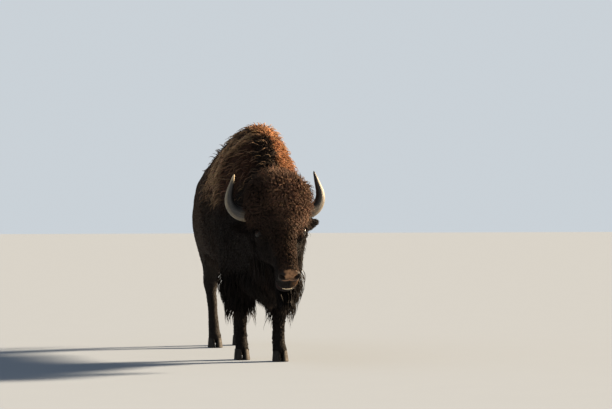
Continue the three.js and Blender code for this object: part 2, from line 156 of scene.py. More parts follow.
def hashed(cell, seed):
    """A number from 0 to 1 that looks random, for each whole-numbered place."""
    x, y, z = np.moveaxis(cell.astype(np.int64), -1, 0)
    mixed = (x * 73856093) ^ (y * 19349663) ^ (z * 83492791)
    mixed = (mixed ^ (seed * 2654435761)) & 0xFFFFFFFF
    mixed = ((mixed ^ (mixed >> 15)) * 2246822519) & 0xFFFFFFFF
    mixed = ((mixed ^ (mixed >> 13)) * 3266489917) & 0xFFFFFFFF
    return ((mixed ^ (mixed >> 16)) & 0xFFFFFF) / 0xFFFFFF


def noise(points, size, seed=0):
    """Smooth noise from -1 to 1 whose lumps are about `size` across."""
    place = points / size
    cell = np.floor(place)
    part = place - cell
    part = part * part * (3 - 2 * part)
    total = 0
    for corner in np.ndindex(2, 2, 2):
        share = np.prod(np.where(corner, part, 1 - part), axis=-1)
        total = total + share * hashed(cell + corner, seed)
    return 2 * total - 1


def noise_vector(points, size, seed=0):
    return np.stack([noise(points, size, seed + k) for k in (11, 23, 37)], -1)


# ---------------------------------------------------------------- meshes


def fetched(items, name, size=1, kind=np.float32):
    """A property of every item: a flat array, or rows of `size`."""
    flat = np.empty(len(items) * size, kind)
    items.foreach_get(name, flat)
    return flat.reshape(-1, size) if size > 1 else flat


def vertices_of(mesh):
    return fetched(mesh.vertices, "co", 3).astype(float)


def normals_of(mesh):
    return fetched(mesh.vertex_normals, "vector", 3).astype(float)


def edges_of(mesh):
    return fetched(mesh.edges, "vertices", 2, np.int32)


def move_vertices(mesh, points):
    mesh.vertices.foreach_set("co", np.asarray(points, np.float32).ravel())
    mesh.update()


def averaged(values, edges, rounds, back=0.0):
    """Values at the vertices, each drawn halfway to its neighbours' mean; `back` undoes the
    shrinking in every other round."""
    columns = values.reshape(len(values), -1).astype(float)
    count = len(columns)
    degree = np.bincount(edges.ravel(), minlength=count)[:, None]
    here, there = np.concatenate([edges, edges[:, ::-1]]).T
    for turn in range(rounds):
        total = [np.bincount(here, columns[there, k], count) for k in range(columns.shape[1])]
        away = np.stack(total, -1) / np.maximum(degree, 1) - columns
        columns = columns + away * (0.5 if turn % 2 == 0 or not back else -back)
    return columns.reshape(values.shape)


def new_object(name, mesh):
    piece = bpy.data.objects.new(name, mesh)
    bpy.context.scene.collection.objects.link(piece)
    return piece


def shaded_smooth(mesh):
    mesh.polygons.foreach_set("use_smooth", np.ones(len(mesh.polygons), bool))
    mesh.update()


def mesh_from(work, name):
    """A smooth mesh from a bmesh, which ends here."""
    mesh = bpy.data.meshes.new(name)
    work.to_mesh(mesh)
    work.free()
    shaded_smooth(mesh)
    return mesh


def mesh_of(name, points, faces):
    """A mesh from an array of points and an array of faces with the same number of corners."""
    mesh = bpy.data.meshes.new(name)
    mesh.vertices.add(len(points))
    mesh.vertices.foreach_set("co", np.asarray(points, np.float32).ravel())
    mesh.loops.add(faces.size)
    mesh.loops.foreach_set("vertex_index", faces.astype(np.int32).ravel())
    mesh.polygons.add(len(faces))
    starts = np.arange(0, faces.size, faces.shape[1], dtype=np.int32)
    mesh.polygons.foreach_set("loop_start", starts)
    shaded_smooth(mesh)
    mesh.validate()
    return mesh


def remeshed(mesh, voxel):
    """The outer surface of everything in the mesh, as one even mesh."""
    holder = new_object("remeshing", mesh)
    remesh = holder.modifiers.new("voxels", "REMESH")
    remesh.mode = "VOXEL"
    remesh.voxel_size = voxel
    graph = bpy.context.evaluated_depsgraph_get()
    result = bpy.data.meshes.new_from_object(holder.evaluated_get(graph))
    bpy.data.objects.remove(holder)
    return result


def set_attribute(mesh, name, values):
    """A colour (n by 3), a vector (n by 3, with a name ending in _v) or a number at each vertex."""
    kind, field = ("FLOAT", "value") if values.ndim == 1 else ("FLOAT_COLOR", "color")
    if name.endswith("_v"):
        kind, field = "FLOAT_VECTOR", "vector"
    elif values.ndim == 2:
        values = np.concatenate([values, np.ones((len(values), 1))], 1)
    layer = mesh.attributes.new(name, kind, "POINT")
    layer.data.foreach_set(field, np.asarray(values, np.float32).ravel())


def set_uv(mesh, uv):
    layer = mesh.uv_layers.new(name="OFBake")
    layer.data.foreach_set("uv", uv.astype(np.float32).ravel())


class Surface:
    """A mesh as arrays: to scatter roots on, and to find the nearest place of."""

    def __init__(self, mesh):
        mesh.calc_loop_triangles()
        self.triangles = fetched(mesh.loop_triangles, "vertices", 3, np.int32)
        self.points = vertices_of(mesh)
        self.normals = normals_of(mesh)
        a, b, c = (self.points[self.triangles[:, k]] for k in range(3))
        self.areas = np.linalg.norm(np.cross(b - a, c - a), axis=1) / 2
        self.centres = (a + b + c) / 3
        self.facing = unit(self.normals[self.triangles].sum(1))
        self.tree = BVHTree.FromPolygons(
            self.points.tolist(), self.triangles.tolist(), all_triangles=True
        )

    def scatter(self, density, seed):
        """Evenly spread places, `density` to the square metre, and the normals there."""
        random = np.random.default_rng(seed)
        shares = self.areas * density(self.centres, self.facing)
        count = int(shares.sum())
        picks = (np.arange(count) + random.random(count)) / count * shares.sum()
        which = np.minimum(np.searchsorted(np.cumsum(shares), picks), len(shares) - 1)
        root, other = np.sqrt(random.random(count)), random.random(count)
        weights = row(1 - root, root * (1 - other), root * other)[..., None]
        corners = self.triangles[which]
        places, normals = ((v[corners] * weights).sum(1) for v in (self.points, self.normals))
        return places, unit(normals)

    def nearest(self, points):
        """The nearest place on the surface to each point, and the surface's normal there."""
        hits = [self.tree.find_nearest(point) for point in points.tolist()]
        return np.array([hit[0] for hit in hits]), self.facing[[hit[2] for hit in hits]]


# ---------------------------------------------------------------- regions of the body


class Regions:
    """How much each place belongs to each region of the animal, from 0 to 1."""

    def __init__(self, points):
        self.points = points
        self.x, self.y, self.z = x, y, z = in_body(points).T
        self.hx, self.hy, self.hz = _, hy, hz = in_head(points).T
        edge = 0.10 * noise(points, 0.24, 3) + 0.045 * noise(points, 0.07, 4)
        nape = (-(y + 0.545) + 0.14 * (z - 1.05)) / 1.01
        high = soft(0.50, 0.62, z) + soft(-0.68, -0.74, y)
        self.head = head = soft(-0.035, 0.035, nape) * np.clip(high, 0, 1)
        self.front = 1 - soft(0.40, 0.62, y + edge)
        self.leg = soft(0.72, 0.58, z) * (1 - head)
        self.fore = self.leg * soft(0.5, 0.3, y) * soft(0.03, 0.06, np.abs(x))
        self.chaps = self.fore * soft(0.35, 0.47, z)
        self.hind = soft(0.80, 0.60, z) * soft(0.95, 1.05, y)
        self.tail = soft(1.73, 1.76, y) * soft(1.30, 1.16, z)
        self.brisket = soft(0.70, 0.56, z) * soft(0.16, 0.10, np.abs(x))
        self.brisket *= soft(0.10, 0.0, y) * (1 - head)
        self.crest = bell(x, 0.03, 0.06) * soft(0.25, -0.1, y)
        self.crest *= soft(1.25, 1.4, z) * (1 - head)
        self.cape = self.front * (1 - head) * (1 - self.fore)
        self.crown = head * soft(0.42, 0.56, hy) * soft(-0.24, -0.12, hz)
        self.bridge = head * soft(0.42, 0.36, hy) * soft(-0.07, -0.03, hz)
        self.cheek = head * soft(0.10, 0.26, hy) * soft(-0.12, -0.20, hz)
        self.near_horn = self.near((0.16, 0.55, -0.065), 0.085)
        self.near_eye = self.near(EYE, 0.055)

    def near(self, place, radius):
        """1 at a place on either side of the head, falling off beyond the radius."""
        x, y, z = place
        far = (np.abs(self.hx) - x) ** 2 + (self.hy - y) ** 2 + (self.hz - z) ** 2
        return self.head * np.exp(-(far / radius**2))


def coat_depth(points):
    """How far the skin lies inside the tips of the coat."""
    at = Regions(points)
    hy, hz = at.hy, at.hz
    depth = layered(0.012, (0.028, at.front), (0.034, at.crest), (0.008, at.leg),
                    (0.030, at.chaps), (0.008, at.hind), (0.008, at.tail))
    face = layered(
        0.002,
        (0.016, soft(-0.02, 0.16, hy)),
        (0.018, soft(0.16, 0.30, hy) * soft(-0.08, -0.03, hz)),
        (0.004, soft(0.27, 0.37, hy) * soft(-0.06, -0.01, hz)),
        (0.026, at.cheek),
        (0.038, at.crown),
        (0.028, soft(0.42, 0.6, hy) * soft(-0.16, -0.24, hz)),
        (0.012, at.near_horn),
    )
    face += 0.020 * bell(hy, 0.47, 0.05) * soft(0.02, 0.07, hz)
    face -= 0.022 * soft(0.10, 0.17, at.hx) * soft(0.56, 0.64, hy) * soft(0.80, 0.70, hy)
    return mix(depth, mix(face, 0.012, at.near_eye), at.head)


def slimmer(points):
    """How much farther in the skin lies on the left of the hump, where the wool is worn short."""
    at = Regions(points)
    high = soft(1.16, 1.34, at.z) * soft(1.80, 1.66, at.z) * soft(0.9, 0.6, at.y)
    return 0.026 * high * soft(0.04, 0.14, at.x) * (1 - at.head)


# ---------------------------------------------------------------- the skin

FLESH = ["neck", "hump", "barrel", "rump", "tail", "head"]
FLESH += [f"{leg}_{side}" for leg in ("foreleg", "hindleg") for side in ("left", "right")]
COARSE_VOXEL = 0.011
SKIN_VOXEL = 0.0105
UNSHRINK = 0.52
SOCKETS = (  # centres and radii in the head's frame: eye, horn and ear
    ((0.135, 0.36, -0.08), (0.045, 0.05, 0.05)),
    ((0.15, 0.55, -0.062), (0.11, 0.088, 0.088)),
    ((0.13, 0.49, -0.17), (0.06, 0.07, 0.07)),
)
PASTERN = (0.062, 0.060, 0.062)  # radii of the flesh that joins the two toes


def flesh_volume():
    """The flesh nodes in one mesh, with the sockets of the horns, ears and eyes filled."""
    filler = bmesh.new()
    for name in FLESH:
        filler.from_mesh(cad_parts[name].data)
    turn = Matrix(HEAD_AXES.tolist()).to_4x4()
    fillings = [(Matrix.Translation(Vector(from_head(centre, side))) @ turn, radii)
                for side in (-1, 1) for centre, radii in SOCKETS]
    fillings += [(Matrix.Translation(Vector(FEET[leg]) + Vector((0, 0.010, 0.045))), PASTERN)
                 for leg in LEGS]
    for place, radii in fillings:
        shape = place @ Matrix.Diagonal((*radii, 1))
        bmesh.ops.create_icosphere(filler, subdivisions=3, radius=1, matrix=shape)
    return mesh_from(filler, "flesh")


LEG_LEVELS = [0.118, 0.19, 0.28, 0.35, 0.45, 0.56, 0.70, 0.90]
FORELEG_LINES = (  # X and Y of the left and of the right foreleg's middle at those levels
    ([0.104, 0.104, 0.108, 0.112, 0.125, 0.153, 0.178, 0.186],
     [-0.136, -0.115, -0.106, -0.098, -0.082, -0.046, 0.003, 0.028]),
    ([-0.146, -0.146, -0.148, -0.150, -0.156, -0.170, -0.182, -0.186],
     [0.074, 0.086, 0.079, 0.074, 0.065, 0.070, 0.077, 0.049]),
)
CHEST_LEVEL, BELLY_LEVEL = 0.565, 0.628  # where the hair that hangs from them begins


def off_the_legs(x, y, z):
    """0 over a foreleg and 1 beside it."""
    far = [np.hypot(x - np.interp(z, LEG_LEVELS, across), y - np.interp(z, LEG_LEVELS, along))
           for across, along in FORELEG_LINES]
    thick = np.interp(z, [0.35, 0.56], [0.078, 0.115])
    return soft(thick, thick + 0.035, np.minimum(*far))


def without_hanging_hair(points):
    """The chest and the belly lifted to where the hair that hangs from them begins."""
    x, y, z = in_body(points).T
    chest = soft(0.20, 0.14, np.abs(x)) * soft(0.18, 0.06, y) * soft(-0.62, -0.5, y)
    belly = soft(0.14, 0.09, np.abs(x)) * soft(0.70, 0.76, y) * soft(1.12, 1.02, y)
    level = np.where(y < 0.4, CHEST_LEVEL, BELLY_LEVEL)
    lift = np.maximum(level - z, 0) * 0.85 * np.maximum(chest * off_the_legs(x, y, z), belly)
    return points + lift[:, None] * [0, 0, 1]


MUSCLES = (  # height, centre and radii of each bone or hollow that shows through the short coat
    (0.016, [0.22, 1.17, 1.33], [0.07, 0.06, 0.05]),  # hip bone
    (-0.022, [0.34, 1.04, 1.16], [0.12, 0.08, 0.10]),  # hollow of the flank
    (0.012, [0.20, 1.66, 1.22], [0.07, 0.05, 0.06]),  # seat bone
    (0.012, [0.27, 1.24, 0.86], [0.08, 0.07, 0.09]),  # stifle
    (-0.010, [0.27, 1.42, 1.0], [0.08, 0.03, 0.20]),  # groove of the thigh
    (-0.012, [0.27, 0.46, 0.95], [0.10, 0.04, 0.25]),  # behind the shoulder
)
RIB_SPACING = 0.085


def muscle_relief(points):
    """Outward moves for the bones and muscles."""
    x, y, z = in_body(points).T
    place = row(np.abs(x), y, z)
    ribs = np.sin((y + 0.18 * (z - 1)) * 2 * math.pi / RIB_SPACING)
    ribs *= soft(0.50, 0.62, y) * soft(1.02, 0.90, y)
    ribs *= soft(0.80, 0.90, z) * soft(1.30, 1.18, z)
    relief = sum(height * bump(place, centre, radii) for height, centre, radii in MUSCLES)
    return relief + 0.0025 * ribs + 0.004 * noise(points, 0.14, 61)


def refined(mesh, wanted, rounds):
    """The mesh with the faces that `wanted` picks split in four, `rounds` times."""
    work = bmesh.new()
    work.from_mesh(mesh)
    for _ in range(rounds):
        work.faces.ensure_lookup_table()
        centres = np.array([face.calc_center_median() for face in work.faces])
        picked = {edge for k in np.flatnonzero(wanted(centres)) for edge in work.faces[k].edges}
        edges = [edge for edge in work.edges if edge in picked]
        bmesh.ops.subdivide_edges(work, edges=edges, cuts=1, use_grid_fill=True)
        many = [face for face in work.faces if len(face.verts) > 4]
        bmesh.ops.triangulate(work, faces=many)
    work.to_mesh(mesh)
    work.free()
    return mesh


# ---- the face's relief, in the head's frame

NOSTRIL = np.array([0.056, -0.032, -0.054])
NOSTRIL_OUT = unit([0.62, -0.77, 0.14])
NOSTRIL_LONG = unit(np.cross(NOSTRIL_OUT, [-0.35, 0.30, 0.89]))
NOSTRIL_SIZE = (0.023, 0.0135)  # half of its length and width
NOSTRIL_DEPTH = 0.032
NOSTRIL_WING = 0.005
EYE_AXIS = unit([0.84, -0.10, 0.53])
EYE_UP = at_right_angles(EYE_AXIS, [0.05, 1.0, 0.10])
EYE_SIDE = np.cross(EYE_UP, EYE_AXIS)
EYE_WIDTH = 0.0225  # half of the opening between the lids
EYE_OPENING = 0.0135
UPPER_LIP, LOWER_LIP, CREASE, PHILTRUM = 0.005, 0.006, -0.008, -0.004  # outward moves
EYE_FOLDS, EYE_FOLD_SPACING = 0.0012, 0.010


def lip_levels(y):
    """The edges of the upper and the lower lip on the head's Z, from front to corner."""
    upper = np.interp(y, [-0.09, -0.03, 0.04, 0.112], [-0.184, -0.182, -0.176, -0.170])
    lower = np.interp(y, [-0.09, 0.0, 0.06, 0.116], [-0.234, -0.224, -0.210, -0.178])
    return upper, lower


def in_mouth(at):
    """1 on the palate, the floor and the back of the open mouth."""
    upper, lower = lip_levels(at.hy)
    front = mix(-0.030, -0.022, soft(upper, lower, at.hz))
    front = front + 0.9 * np.maximum(np.abs(at.hx) - 0.045, 0)
    inner = soft(0.0, 0.008, at.hy - front) * soft(0.074, 0.066, np.abs(at.hx))
    between = soft(0.012, 0.004, at.hz - upper) * soft(-0.012, -0.004, at.hz - lower)
    return at.head * inner * between * soft(0.135, 0.120, at.hy)


def face_relief(points, normals):
    """Moves the skin of the face into nostrils, lips, chin and the rims round the eyes."""
    local, at = in_head(points), Regions(points)
    side = np.where(local[:, 0] < 0, -1.0, 1.0)
    to_left = row(side, 1.0, 1.0)  # mirrors the right half of the head onto the left half
    facing = normals @ HEAD_AXES * to_left
    place = local * to_left
    x, y, z = place.T

    # Nostrils: a slanting comma with a raised wing.
    away = place - NOSTRIL
    wide = np.cross(NOSTRIL_LONG, NOSTRIL_OUT)
    u = dot(away, NOSTRIL_LONG) / NOSTRIL_SIZE[0]
    v = (dot(away, wide) + 0.25 * dot(away, NOSTRIL_LONG)) / NOSTRIL_SIZE[1]
    ring = np.hypot(u, v)
    near = soft(0.06, 0.035, np.linalg.norm(away, axis=1))
    hollow = near * soft(1.05, 0.72, ring)
    move = np.zeros_like(place)
    move -= NOSTRIL_OUT * (NOSTRIL_DEPTH * hollow)[:, None]
    move += NOSTRIL_OUT * (NOSTRIL_WING * near * bell(ring, 1.45, 0.35))[:, None]

    # Lips: rolled edges round the open mouth, and a crease behind its corner.
    level, floor = lip_levels(y)
    lips = soft(0.12, 0.09, y) * (1 - in_mouth(at))
    upper = lips * bell(z - level, 0.008, 0.008)
    lower = lips * bell(z - floor, -0.010, 0.010)
    crease = bell(z + 0.174 + 0.25 * (y - 0.115), 0, 0.005)
    crease *= soft(0.10, 0.115, y) * soft(0.155, 0.13, y)
    move += facing * (UPPER_LIP * upper + LOWER_LIP * lower + CREASE * crease)[:, None]

    # The groove between the nostrils.
    groove = bell(x, 0, 0.0035) * soft(0.01, -0.03, y)
    groove *= soft(-0.19, -0.17, z)
    move += facing * (PHILTRUM * groove)[:, None]

    # A mound round each eye, with the ball in its middle.
    out, over, aside = (dot(place - EYE, axis) for axis in (EYE_AXIS, EYE_UP, EYE_SIDE))
    far = np.hypot(aside / 1.15, over)
    near = at.head * soft(0.085, 0.045, far) * soft(-0.09, -0.05, out)
    rim = mix(-0.010, 0.006, soft(0.020, 0.030, far)) - 0.026 * soft(0.030, 0.085, far)
    rim = rim + 0.009 * bell(over, 0.036, 0.014) * soft(0.06, 0.02, np.abs(aside))
    raised = np.where(far < 0.03, 1.0, (rim > out))
    move += EYE_AXIS * (near * (rim - out))[:, None] * raised[:, None]

    # Small folds over and under the eye.
    folds = np.sin((far + 0.004 * noise(points, 0.03, 5)) * 2 * math.pi / EYE_FOLD_SPACING) * near
    folds *= soft(0.032, 0.038, far) * soft(0.060, 0.045, far) * (
        0.5 + 0.5 * noise(points, 0.03, 6))
    move += EYE_AXIS * (EYE_FOLDS * folds)[:, None]

    move *= (at.head * soft(0.55, 0.45, local[:, 1]))[:, None]
    return points + move * to_left @ HEAD_AXES.T


def fine_parts(centres):
    """The muzzle and the eyes, whose skin has the smallest faces."""
    x, y, z = in_head(centres).T
    muzzle = (y < 0.19) & (z < 0.03) & (np.abs(x) < 0.13)
    eyes = np.linalg.norm(row(np.abs(x), y, z) - EYE, axis=1) < 0.085
    return muzzle | eyes


def make_skin():
    shell = remeshed(flesh_volume(), COARSE_VOXEL)
    points, edges = vertices_of(shell), edges_of(shell)
    light = averaged(points, edges, 60, UNSHRINK)
    heavy = averaged(points, edges, 70)
    heavy = heavy + averaged(points - heavy, edges, 30)
    points = mix(heavy, light, Regions(points).head)
    move_vertices(shell, points)
    normals = unit(averaged(normals_of(shell), edges, 12))
    depth = averaged(coat_depth(points) + slimmer(points), edges, 14)
    inner = without_hanging_hair(points - normals * depth[:, None])
    move_vertices(shell, averaged(inner, edges, 16, UNSHRINK))
    skin = remeshed(shell, SKIN_VOXEL)
    points = averaged(vertices_of(skin), edges_of(skin), 14, UNSHRINK)
    move_vertices(skin, points)
    move_vertices(skin, points + normals_of(skin) * muscle_relief(points)[:, None])
    skin = refined(skin, fine_parts, 2)
    shaded_smooth(skin)
    move_vertices(skin, face_relief(vertices_of(skin), normals_of(skin)))
    return skin



# ---------------------------------------------------------------- colours

BLACK_BROWN = np.array([0.0080, 0.0062, 0.0056])
DARK_BROWN = np.array([0.018, 0.0120, 0.0090])
CROWN_BROWN = np.array([0.080, 0.046, 0.031])
FACE_BROWN = np.array([0.028, 0.0165, 0.0112])
MID_BROWN = np.array([0.036, 0.021, 0.0130])
UMBER = np.array([0.042, 0.0245, 0.0155])
WORN_BROWN = np.array([0.050, 0.022, 0.013])
WOOL_BROWN = np.array([0.240, 0.104, 0.044])
BLEACHED = np.array([0.360, 0.230, 0.135])
# NOSE_BROWN: dust on the nose pad with painted light over it, and painted light on the left half of
# the upper lip.
NOSE_BROWN = np.array([0.560, 0.300, 0.155])
LEATHER_BLACK = np.array([0.016, 0.012, 0.011])
MOUTH_DARK = np.array([0.040, 0.018, 0.016])


def behind_flap(at):
    """How far behind the front edge of the half-shed wool a place on the shoulder is."""
    edge = np.interp(at.z, [1.0, 1.17, 1.34, 1.43, 1.53, 1.63, 1.72, 1.8],
                     [-0.10, -0.02, 0.11, 0.16, 0.09, -0.02, -0.14, -0.25])
    return at.y - edge


def shed_patches(points):
    """Strips of faded, half-shed wool on the shoulder, most of them on the right one."""
    at = Regions(points)
    q = behind_flap(at) + 0.02 * noise(points, 0.09, 84)
    strips = noise(row(q / 0.045, at.z / 0.30, np.sign(at.x) * 3), 1, 81)
    strips = strips + 0.45 * noise(points, 0.045, 83)
    strips = soft(0.0, 0.35, strips) * soft(-0.03, 0.03, q)
    lip = soft(-0.012, 0.012, q) * soft(0.085, 0.045, q) * soft(-0.5, 0.3, noise(points, 0.12, 85))
    wanted = soft(1.19, 1.39, at.z + 0.08 * noise(points, 0.1, 87))
    wanted = wanted * at.front * (1 - at.head) * soft(0.66, 0.5, at.y)
    return wanted * np.maximum(strips, lip) * mix(0.18, 1.0, soft(0.0, -0.10, at.x))


def dark_crest(at):
    """1 on the dark strip that runs from the top of the hump down to the nape."""
    wander = at.x + 0.018 * noise(at.points, 0.05, 77)
    crest = soft(-0.105, -0.075, wander) * soft(0.035, 0.010, wander) * (1 - at.head)
    return crest * soft(0.0, -0.12, at.y + 0.03 * noise(at.points, 0.2, 78))


def markings(points):
    """The colour of the skin and of the coat's roots."""
    at = Regions(points)
    hx, hy, hz = at.hx, at.hy, at.hz
    patch = noise(points, 0.24, 71) + 0.5 * noise(points, 0.09, 72)
    rear = mix(DARK_BROWN, MID_BROWN, soft(0.70, 1.20, at.z + 0.12 * patch))
    # The cape's right side (x < 0) takes the dark colours: partly worn, half-shed wool and partly
    # painted shade on the side away from the key light.
    wear_and_shade = soft(0.02, -0.07, at.x + 0.02 * patch)
    # The cape's dark lower colours reach 0.2 m higher on the right side (x < 0): painted shade.
    level = 1.02 + 0.30 * soft(-0.05, -0.45, at.y) + 0.20 * soft(0.0, -0.12, at.x)
    cape = mix(WOOL_BROWN * (1 + 0.18 * patch)[:, None],
               mix(UMBER, WORN_BROWN, soft(0.05, -0.05, behind_flap(at))),
               np.maximum(wear_and_shade, soft(1.15, 0.85, at.z) * 0.6))
    low = mix(DARK_BROWN, BLACK_BROWN, 0.8 * soft(0.35, -0.15, at.y))
    cape = mix(low, cape, soft(level - 0.15, level + 0.18, at.z + 0.12 * patch))
    cape = mix(cape, BLEACHED, 0.9 * shed_patches(points))
    level = mix(-0.055, -0.17, soft(0.38, 0.54, hy)) + 0.012 * patch
    warm = soft(level - 0.04, level + 0.04, hz)
    # The face and the crown are darker on the head's right half (hx < 0): painted shade.
    warm = warm * (1 - 0.7 * soft(0.01, -0.09, hx + 0.04 * soft(0.35, 0.5, hy)))
    # The short hair of the upper lip is lighter on the head's left half only (hx > 0): painted
    # light where the key light strikes.
    flap = soft(0.005, 0.03, hx) * soft(0.03, 0.0, hy) * soft(-0.20, -0.18, hz)
    face = layered(
        BLACK_BROWN,
        (mix(FACE_BROWN, CROWN_BROWN, soft(0.25, 0.50, hy)), warm),
        (UMBER, 0.6 * soft(0.10, 0.03, hy) * soft(-0.06, -0.02, hz)),
        (NOSE_BROWN * 0.13, flap * soft(-0.075, -0.09, hz)),
    )
    colour = layered(rear, (cape, at.front), (DARK_BROWN, 0.95 * dark_crest(at)),
                     (BLACK_BROWN, np.maximum(at.leg, 0.8 * at.hind) * 0.85), (face, at.head))
    return colour * (1 + 0.16 * noise(points, 0.035, 75))[:, None]


def faded(points):
    return mix(markings(points), BLEACHED, 0.3)


def nose_pad(at):
    """1 on the bare pad of the nose, which reaches over its top."""
    edge = 0.016 - 3.2 * at.hx**2 + 0.004 * noise(at.points, 0.015, 91)
    low = -0.088 - 0.25 * np.abs(at.hx) + 0.002 * noise(at.points, 0.012, 97)
    pad = soft(edge, edge - 0.010, at.hy) * soft(low - 0.006, low + 0.004, at.hz)
    return at.head * pad * soft(0.084, 0.076, np.abs(at.hx))


def lip_skin(at):
    """1 on the bare edges of the lips and on the skin inside the mouth."""
    upper, lower = lip_levels(at.hy)
    rise = at.hz - upper + 0.002 * noise(at.points, 0.012, 92)
    fall = lower - at.hz + 0.002 * noise(at.points, 0.012, 93)
    edges = soft(0.020, 0.012, rise) * soft(-0.012, -0.004, rise)
    edges = np.maximum(edges, soft(0.024, 0.014, fall) * soft(-0.012, -0.004, fall))
    return np.maximum(at.head * edges * soft(0.125, 0.105, at.hy), in_mouth(at))


# ---------------------------------------------------------------- unwrap of the skin

TORSO, HEAD, FIRST_LEG, TAIL = 0, 1, 2, 6
ISLANDS = np.array(  # left edge, lower edge, width and height of each region's island
    [(0.01, 0.43, 0.98, 0.56), (0.01, 0.01, 0.42, 0.40)]
    + [(0.44 + 0.12 * n, 0.01, 0.11, 0.40) for n in range(4)]
    + [(0.93, 0.01, 0.06, 0.4)]
)
LEG_AXES = [(0.125, -0.09), (-0.155, 0.07), (0.12, 1.56), (-0.12, 1.39)]  # X, Y from the shoulder


def region_number(points):
    at = Regions(points)
    number = np.full(len(points), TORSO)
    for n, (x, y) in enumerate(LEG_AXES):
        near = (at.z < 0.66) & (np.hypot(at.x - x, (at.y - y) * 0.6) < 0.21)
        number[near & (np.sign(at.x) == np.sign(x)) & (at.head < 0.5)] = FIRST_LEG + n
    number[at.tail > 0.5] = TAIL
    number[at.head > 0.5] = HEAD
    return number


def unrolled(points, number):
    """Turns round the region's axis (-0.5 to 0.5) and length along it (0 to 1) at each place."""
    x, y, z = in_body(points).T
    hx, hy, hz = in_head(points).T
    turn, along = np.arctan2(x, z - 1.0), (y + 0.80) / 2.70
    others = [(HEAD, np.arctan2(hx, hz + 0.11), (hy + 0.07) / 0.85),
              (TAIL, np.arctan2(x - 0.012, 1.80 - y), (z - 0.70) / 0.62)]
    for n, (leg_x, leg_y) in enumerate(LEG_AXES):
        lean = 0.12 * soft(0.15, 0.55, z) if n > 1 else 0.04
        others.append((FIRST_LEG + n, np.arctan2(x - leg_x, leg_y + lean - y), z / 0.70))
    for region, its_turn, its_length in others:
        turn = np.where(number == region, its_turn, turn)
        along = np.where(number == region, its_length, along)
    return turn / (2 * math.pi), along


def unwrap(number, turn, along):
    """Places in the unwrap, where the torso's island lies along its length."""
    left, low, width, height = ISLANDS[number].T
    turn, along = np.clip(turn / 1.3 + 0.5, 0.01, 0.99), np.clip(along, 0.01, 0.99)
    wide = number == TORSO
    return np.stack([left + width * np.where(wide, along, turn),
                     low + height * np.where(wide, turn, along)], -1)


def unwrap_skin(mesh):
    corners = fetched(mesh.loops, "vertex_index", 1, np.int32)
    sizes = fetched(mesh.polygons, "loop_total", 1, np.int32)
    places, face = vertices_of(mesh)[corners], np.repeat(np.arange(len(sizes)), sizes)
    centres = np.stack([np.bincount(face, axis) for axis in places.T], -1) / sizes[:, None]
    number = region_number(centres)
    centre_turn, _ = unrolled(centres, number)
    turn, along = unrolled(places, number[face])
    turn -= np.round(turn - centre_turn[face])  # no face spans the seam
    set_uv(mesh, unwrap(number[face], turn, along))


def lie_coordinates(points):
    """A place on the unrolled skin, turned so that its second axis runs along the short hair."""
    number = region_number(points)
    turn, along = unrolled(points, number)
    round_about = np.abs(turn) * np.array([3.0, 1.2] + 5 * [0.4])[number]
    length = along * np.array([2.7, 0.85] + 5 * [0.7])[number]
    slant = np.where(number == TORSO, 0.55, 0.0)
    across = np.cos(slant) * round_about - np.sin(slant) * length
    down = np.sin(slant) * round_about + np.cos(slant) * length
    return row(across, 0.12 * down, number * 1.7)


# ---------------------------------------------------------------- materials


class Nodes:
    """Short ways to add and join a material's nodes."""

    def __init__(self, name):
        self.material = bpy.data.materials.new(name)
        self.material.use_nodes = True
        self.tree = self.material.node_tree

    def add(self, kind, inputs, **settings):
        node = self.tree.nodes.new("ShaderNode" + kind)
        for key, value in settings.items():
            setattr(node, key, value)
        for key, value in inputs.items():
            self.put(node.inputs[key], value)
        return node.outputs

    def put(self, socket, value):
        if isinstance(value, bpy.types.NodeSocket):
            self.tree.links.new(value, socket)
        elif socket.type == "RGBA":
            socket.default_value = (*[float(v) for v in value], 1)
        else:
            socket.default_value = value

    def attribute(self, name, output="Color"):
        return self.add("Attribute", {}, attribute_name=name)[output]

    def position(self):
        return self.add("NewGeometry", {})["Position"]

    def noise(self, scale, vector, detail=3.0, rough=0.5):
        inputs = {"Scale": scale, "Detail": detail, "Roughness": rough, "Vector": vector}
        return self.add("TexNoise", inputs)["Fac"]

    def pebbles(self, scale, size):
        """0 in the cracks between pebbles and 1 on them."""
        inputs = {"Scale": scale, "Vector": self.position()}
        cells = self.add("TexVoronoi", inputs, feature="DISTANCE_TO_EDGE")
        return self.ramp(cells["Distance"], 0.0, size)

    def scaled(self, vector, scale):
        return self.add("VectorMath", {0: vector, 1: scale}, operation="MULTIPLY")[0]

    def math(self, operation, a, b=0.0):
        return self.add("Math", {0: a, 1: b}, operation=operation)[0]

    def ramp(self, value, low, high, to_low=0.0, to_high=1.0):
        inputs = {"Value": value, "From Min": low, "From Max": high,
                  "To Min": to_low, "To Max": to_high}
        return self.add("MapRange", inputs, interpolation_type="SMOOTHSTEP")["Result"]

    def blend(self, share, a, b, kind="MIX"):
        return self.add("Mix", {0: share, 6: a, 7: b}, data_type="RGBA", blend_type=kind)[2]

    def toned(self, colour, tone):
        """The colour times a number."""
        grey = self.add("CombineColor", {0: tone, 1: tone, 2: tone})[0]
        return self.blend(1.0, colour, grey, "MULTIPLY")

    def bump(self, height, distance, strength=1.0):
        return self.add("Bump", {"Height": height, "Distance": distance, "Strength": strength})[0]

    def surface(self, **values):
        shader = self.tree.nodes["Principled BSDF"]
        for key, value in values.items():
            self.put(shader.inputs[key.replace("_", " ")], value)
        return self.material


def coat_material(name, sheen):
    """Locks of hair: streaks run along each one, over the colour that it carries."""
    n = Nodes(name)
    streak = n.noise(1.0, n.scaled(n.attribute("strand_v", "Vector"), (900, 28, 60)), 2.0)
    return n.surface(
        Base_Color=n.toned(n.attribute("coat"), n.ramp(streak, 0.30, 0.70, 0.62, 1.38)),
        Roughness=n.ramp(streak, 0.3, 0.7, 0.62, 0.82),
        Normal=n.bump(streak, 0.0012, 0.6),
        Specular_IOR_Level=0.10, Sheen_Weight=sheen, Sheen_Roughness=0.5,
    )


